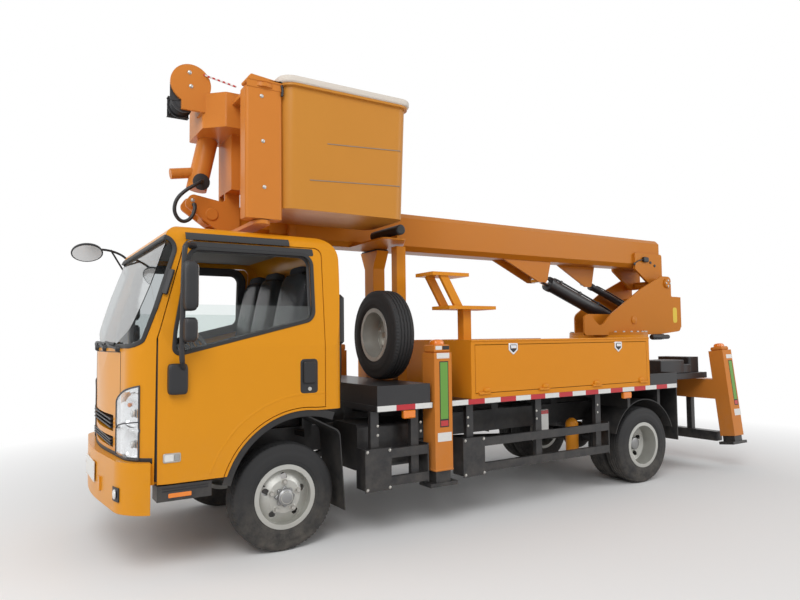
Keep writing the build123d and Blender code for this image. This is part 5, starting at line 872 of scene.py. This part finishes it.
def leg_labels(end, body, y, x0, x1, z0, z1, lay, flip):
    """Blank label plates of one leg: thin slabs on its outer face."""
    green = tile(x0 + 7, x1 - 7, z0 + 64, z1 - 8, y + 0.8, y + 1.9, 3, 0.4)
    red = tile(x0 + 8, x1 - 8, z0 + 9, z0 + 52, y + 0.8, y + 1.9, 3, 0.4)
    white = [tile(x0 - 12, x1 + 24, z1 + 22, z1 + 66, y - 0.5, y + 1.3, 3, 0.4),
             tile(x0 - 24, x1 + 24, z0 - 112, z0 - 42, y - 0.5, y + 1.3, 3, 0.4)]
    piece("label_back" + end, body, "rubber_seal", lay(tile(x0, x1, z0, z1, y - 0.5, y + 1.2, 4, 0.4)), flip=flip)
    piece("label_green" + end, body, "sign_green", lay(green), flip=flip)
    piece("label_red" + end, body, "red_lens", lay(red), flip=flip)
    piece("label_white" + end, body, "sign_white", *[lay(w) for w in white], flip=flip)


def outrigger_trim():
    """Label plates, caps, lamps and bands on the legs, tail lamps and the underrun bar: slabs, blocks and crowned
    pads, leaned with the rear legs where they stand on them."""
    tails = {"red_lens": (560, 640), "amber_lens": (644, 694), "white_lens": (698, 740)}
    bars = {"underrun_red_": ("red_lens", (60, 260, 460, 660)), "underrun_white_": ("sign_white", (160, 360, 560, 760))}
    for name, flip in SIDES:
        beam = "front_beam_" + name
        leg_labels("_0_" + name, beam, 1020, -1312, -1225, 783, 1306, np.asarray, flip)
        leg_labels("_1_" + name, "root", 1010, -5248, -5178, 690, 1190, leaned, flip)
        piece("leg_cap_" + name, beam, "leg_orange", box(-1338, -1184, 858, 1012, 1374, 1438, 10), flip=flip)
        piece("leg_lamp_" + name, beam, "amber_lens", pad((-1261, 935, 1438), (54, 54, 44), 0.7, 18, 32), flip=flip)
        stripe, pale = (tile(x0, x1, 1398, 1428, 1011.5, 1013.5, 3, 0.5) for x0, x1 in ((-1330, -1262), (-1258, -1196)))
        piece("leg_stripe_" + name, beam, "rubber_seal", stripe, flip=flip)
        piece("leg_stripe_white_" + name, beam, "sign_white", pale, flip=flip)
        piece("leg_bands_" + name, beam, "leg_orange", box(-1347.5, -1174.5, 848.5, 1021.5, 1330, 1336, 3),
              box(-1350, -1172, 846, 1024, 440, 458, 6), flip=flip)
        top = leaned(box(-5250, -5110, 855, 995, 1308, 1352, 12))
        piece("rear_leg_cap_" + name, "root", "leg_orange", top, flip=flip)
        lamp = leaned(pad((-5180, 925, 1352), (52, 52, 40), 0.7, 18, 32))
        piece("rear_leg_lamp_" + name, "root", "amber_lens", lamp, flip=flip)
        for lens, (y0, y1) in tails.items():
            piece("tail_%s_%s" % (lens, name), "root", lens, tile(y0, y1, 828, 906, -5266, -5284, 8, 5, on_front),
                  flip=flip)
        piece("tail_case_" + name, "root", "plastic_black", tile(550, 750, 818, 916, -5264, -5274, 10, 4, on_front),
              flip=flip)
        for label, (look, starts) in bars.items():
            marks = [tile(y, y + 100, 310, 370, -5232, -5236, 3, 0.6, on_front) for y in starts]
            piece(label + name, "root", look, *marks, flip=flip)
    piece("underrun_sleeves", "root", "frame_black", box(-5233, -5127, -884, 884, 287, 393, 4),
          box(-5213, -5147, 497, 563, 388, 768, 4), box(-5213, -5147, -563, -497, 388, 768, 4))
    piece("valve_bank", "root", "frame_black", box(-4700, -4292, 500, 800, 1066, 1215, 8),
          box(-4820, -4690, 500, 800, 1066, 1165, 8), box(-5110, -4285, 786, 804, 1000, 1066, 4))
    piece("number_plate_rear", "root", "sign_white", tile(-220, 220, 800, 930, -5265, -5271, 8, 2, on_front))


# Turret, boom and basket

def along_cylinder(grids, foot, rise, run):
    """Grids drawn along x, turned up to a cylinder's slope and moved to its foot."""
    slope = np.degrees(np.arctan2(rise, run))
    return [turned(g, np.zeros(3), -slope, "y") + np.array(foot) for g in grids]


def bolt_circle(radius, z):
    """Places of the slewing ring's bolts: even steps of angle about the turret's axis."""
    a = np.linspace(0, 2 * pi, 28, endpoint=False)
    return np.stack([RING_X + radius * np.cos(a), radius * np.sin(a), np.full(28, float(z))], -1)


def boom_trim():
    """Ring bolts, pivot caps, slew motor, sensor, cylinder fittings and the boom's mouth: turned profiles, bars along
    paths, and a collar carried round the section."""
    upper = bolt_circle(428, 1530)
    piece("ring_bolts_low", "root", "bolt_zinc", heads(bolt_circle(425, 1440), (0, 0, -1), 26, 14))
    piece("ring_bolts_high", "turret", "bolt_zinc", heads(upper[np.abs(upper[:, 1]) > 305], (0, 0, 1), 24, 14))
    caps = [lathe([(300, 0), (300, 58), (314, 58), (324, 50), (326, 0)], BOOM_PIVOT, "y", 40),
            lathe([(300, 0), (300, 46), (308, 46), (312, 38), (313, 0)], LIFT_FOOT, "y", 36)]
    piece("pivot_caps", "turret", "boom_orange", *[g * flip for _, flip in SIDES for g in caps])
    x, _, z = BOOM_PIVOT
    bolts = [heads([(x + 34 * c, s * 326, z + 34 * d)], (0, s, 0), 18, 8) for s in (1, -1) for c, d in CROSS]
    piece("pivot_bolts", "turret", "bolt_zinc", *bolts)
    rows = [(-5097, 0), (-5097, 24), (-5080, 27), (-4960, 27), (-4955, 34), (-4800, 34), (-4780, 28), (-4780, 0)]
    piece("slew_motor", "turret", "plastic_black", lathe(rows, (0, 322, 1470), "x", 28),
          box(-4990, -4930, 290, 350, 1440, 1505, 8))
    lead = tube([(-4840, 196, 2410), (-4760, 190, 2396), (-4700, 184, 2360)], 6, 10)
    dots = [lathe([(176, 0), (176, 17), (188, 16), (190, 0)], (x, 0, z), "y", 20)
            for x, z in ((-4692, 2351), (-5067, 2345), (-4990, 2380))]
    piece("boom_sensor", "boom", "plastic_black", box(-4925, -4835, 176, 214, 2380, 2440, 8), lead, *dots)
    piece("turret_sign", "turret", "sign_yellow", tile(-5312, -5232, 1640, 1828, 299, 301, 30, 0.6))
    gland = lathe([(1090, 70), (1090, 82), (1120, 84), (1150, 82), (1154, 60), (1154, 44)], (0, 0, 0), "x", 36)
    pipe = tube([(60, 0, 78), (90, 0, 98), (700, 0, 98), (1060, 0, 98), (1085, 0, 78)], 11, 12)
    clips = [box(x - 14, x + 14, -18, 18, 70, 112, 5) for x in (320, 640, 960)]
    fittings = along_cylinder([gland, pipe, *clips], LIFT_FOOT, 475, 1230)
    piece("lift_fittings", "lift_barrel", "frame_black", *fittings)
    gland = lathe([(650, 32), (650, 44), (690, 44), (694, 30), (694, 22)], (0, 0, 0), "x", 30)
    pipe = tube([(40, 0, 40), (60, 0, 54), (560, 0, 54), (600, 0, 38)], 8, 10)
    piece("level_fittings", "level_barrel", "frame_black", *along_cylinder([gland, pipe], LEVEL_FOOT, 280, 750))
    runs = [strip([(-5100, y, 2662), (-420, y, 2662)], rectangle(-12, 12, -4, 6, 3), (0, 0, 1)) for y in (60, -60)]
    piece("boom_top_strips", "boom", "boom_orange", *runs)
    mouth = on_front(level(rectangle(-163, 163, 2300, 2680, 46), -330))
    collar = strip(mouth, rectangle(-28, 28, -14, 6, 4), unit(mouth - (-330, 0, 2490)), True)
    piece("boom_mouth", "boom", "boom_orange", collar)


def basket_side(x, z):
    """Point on the basket's left side, which leans out evenly with height."""
    return x, 907 + 28 * (z - 2440) / 955, z


def platform_trim():
    """Basket rim pad and lines, column lid, folds and bolts, winch drum and rope, pins and the rest's sleeve:
    profiles carried along loops and paths, slabs and turned profiles."""
    loop = level(rectangle(-1027, 43, 263, 942, 84, 10), 3386)
    piece("basket_rim_pad", "platform", "rim_pad", strip(loop, rectangle(-24, 24, -34, 20, 17, 6), (0, 0, 1), True))
    marks = [[(-306, 2950), (-650, 2970), (-946, 2989)], [(-168, 2662), (-600, 2686), (-940, 2704)]]
    lines = [tube([basket_side(x, z) for x, z in mark], 3, 8) for mark in marks]
    piece("basket_lines", "platform", "line_grey", *lines)
    bolts = [(192, 890, 3228), (181, 890, 2904), (171, 890, 2575)]
    piece("column_bolts", "platform", "bolt_zinc", heads(bolts, (0, 1, 0), 20, 9))
    lid = plate(rounded([(2, 3329), (18, 3350), (270, 3376), (310, 3329)], 14), 742, 900, on_side, 6)
    piece("column_lid", "platform", "leg_orange", lid, tile(38, 302, 3284, 3334, 889, 894, 6, 1))
    folds = [strip([(306, y, 2356), (306, y, 3286)], rectangle(-3, 3, -4, 2, 1), (1, 0, 0)) for y in (776, 874)]
    piece("column_folds", "platform", "leg_orange", *folds)
    piece("column_catch", "platform", "plastic_black", tube([(44, 896, 3330), (38, 902, 3290), (44, 898, 3250)], 9, 10))
    piece("sheave_bolts", "upright", "bolt_zinc", heads([(552, 312, 3530), (541, 312, 3425)], (0, 1, 0), 22, 10))
    drum = [lathe([(y, 0), (y, 92), (y + 10, 92), (y + 10, 0)], DRUM, "y", 36) for y in (134, 276)]
    wraps = [lathe([(y, 70), (y + 6, 78), (y + 12, 70)], DRUM, "y", 36) for y in range(150, 270, 12)]
    fins = [box(512, 662, y, y + 7, 3240, 3390, 6) for y in range(56, 126, 14)]
    piece("winch_drum", "upright", "plastic_black", *drum, *wraps, *fins)
    guard = plate(rounded([(612, 3300), (690, 3300), (690, 3440), (640, 3520), (612, 3440)], 20), 284, 292, edge=2)
    piece("winch_guard", "upright", "plastic_black", guard)
    rope = tube([(449, 304, 3536), (352, 402, 3476), (255, 500, 3414)], 7, 10, 1)
    piece("winch_rope", "upright", "rope_tape", rope)
    drive = lathe([(118, 60), (118, 66), (130, 66), (134, 40), (134, 0)], DRIVE, "y", 28)
    piece("drive_fittings", "upright", "plastic_black", drive)
    pin = lathe([(86, 0), (86, 52), (96, 52), (104, 44), (104, 0)], (320, 0, 2500), "y", 36)
    piece("level_pin_caps", "upright", "leg_orange", *[pin * flip for _, flip in SIDES])
    nuts = [heads([(470, 92 * s, 2600)], (0, s, 0), 22, 9) for s in (1, -1)]
    piece("yoke_bolts", "upright", "bolt_zinc", *nuts)
    sleeve = lathe([(286, 0), (286, 34), (292, 43), (738, 43), (745, 34), (745, 0)], (-1052, 0, 2392), "y", 28)
    piece("rest_sleeve", "boom", "rubber_seal", sleeve)


wheels()
glazing()
cab_front()
doors()
front_mirror()
cab_inside()
deck_trim()
outrigger_trim()
boom_trim()
platform_trim()


# Floor, light and camera

def background_rays(tree):
    """One for camera, mirror and glass rays, else nought: the greatest of the three kinds."""
    path = make(tree, "ShaderNodeLightPath").outputs
    glossy_or_glass = math_node(tree, "MAXIMUM", path["Is Glossy Ray"], path["Is Transmission Ray"])
    return math_node(tree, "MAXIMUM", path["Is Camera Ray"], glossy_or_glass)


def studio():
    """Pale floor that runs out to white, a bright world for camera, mirror and glass rays, and soft lamps."""
    mesh = bpy.data.meshes.new("floor")
    a = np.linspace(0, 2 * pi, 64, endpoint=False)
    mesh.from_pydata(np.stack([80 * np.cos(a), 80 * np.sin(a), 0 * a], -1).tolist(), [], [list(range(64))])
    floor = bpy.data.objects.new("floor", mesh)
    bpy.context.scene.collection.objects.link(floor)
    ground = bpy.data.materials.new("studio_floor")
    ground.use_nodes = True
    tree = ground.node_tree
    shader = tree.nodes["Principled BSDF"]
    shader.inputs["Base Color"].default_value = (0.86, 0.86, 0.86, 1)
    shader.inputs["Roughness"].default_value = 0.9
    shader.inputs["Specular IOR Level"].default_value = 0.1
    far = make(tree, "ShaderNodeVectorMath", operation="LENGTH", vector=object_place(tree)).outputs["Value"]
    edge = make(tree, "ShaderNodeMapRange", value=far, from_min=3.5, from_max=7.0).outputs[0]
    white = make(tree, "ShaderNodeEmission", color=(1, 1, 1, 1), strength=1.0)
    blend = make(tree, "ShaderNodeMixShader")
    tree.links.new(math_node(tree, "MULTIPLY", edge, background_rays(tree)), blend.inputs[0])
    tree.links.new(shader.outputs[0], blend.inputs[1])
    tree.links.new(white.outputs[0], blend.inputs[2])
    tree.links.new(blend.outputs[0], tree.nodes["Material Output"].inputs["Surface"])
    mesh.materials.append(ground)

    world = bpy.data.worlds.new("studio")
    bpy.context.scene.world = world
    world.use_nodes = True
    tree = world.node_tree
    back = tree.nodes["Background"]
    tree.links.new(math_node(tree, "MULTIPLY_ADD", background_rays(tree), 0.54, 0.46), back.inputs["Strength"])
    back.inputs["Color"].default_value = (1, 1, 1, 1)

    lamps = [("key", (6.5, 7.5, 8.5), (0.5, 0.3, 1.2), 6.0, 600.0),
             ("fill", (-7.5, 7.0, 5.0), (-1.0, 0, 1.4), 5.0, 230.0),
             ("front", (9.5, -2.0, 4.5), (2.0, 0, 1.5), 4.0, 170.0)]
    for name, spot, target, size, power in lamps:
        light = bpy.data.lights.new(name, "AREA")
        light.size = size
        light.energy = power
        lamp = bpy.data.objects.new(name, light)
        lamp.location = spot
        lamp.rotation_euler = (Vector(target) - Vector(spot)).to_track_quat("-Z", "Y").to_euler()
        bpy.context.scene.collection.objects.link(lamp)


def camera():
    """View of the photograph: place, yaw from the truck's left side, pitch and roll, and the frame's offset."""
    yaw, pitch, roll = radians(32.624), radians(3.142), radians(-0.706)
    ahead = np.array([-sin(yaw) * cos(pitch), -cos(yaw) * cos(pitch), sin(pitch)])
    right = np.array([-cos(yaw), sin(yaw), 0.0])
    up = np.cross(right, ahead)
    right, up = cos(roll) * right + sin(roll) * up, -sin(roll) * right + cos(roll) * up
    lens = bpy.data.cameras.new("photo_view")
    lens.sensor_width = 36.0
    lens.lens = 29.10
    lens.shift_x, lens.shift_y = -0.0158, 0.0027
    lens.clip_end = 300.0
    seen = bpy.data.objects.new("photo_view", lens)
    place = np.eye(4)
    place[:3, :3] = np.stack([right, up, -ahead], 1)
    place[:3, 3] = (3.831, 5.263, 1.497)
    seen.matrix_world = Matrix(place.tolist())
    bpy.context.scene.collection.objects.link(seen)
    bpy.context.scene.camera = seen


studio()
camera()
bpy.context.scene.view_settings.view_transform = "Standard"
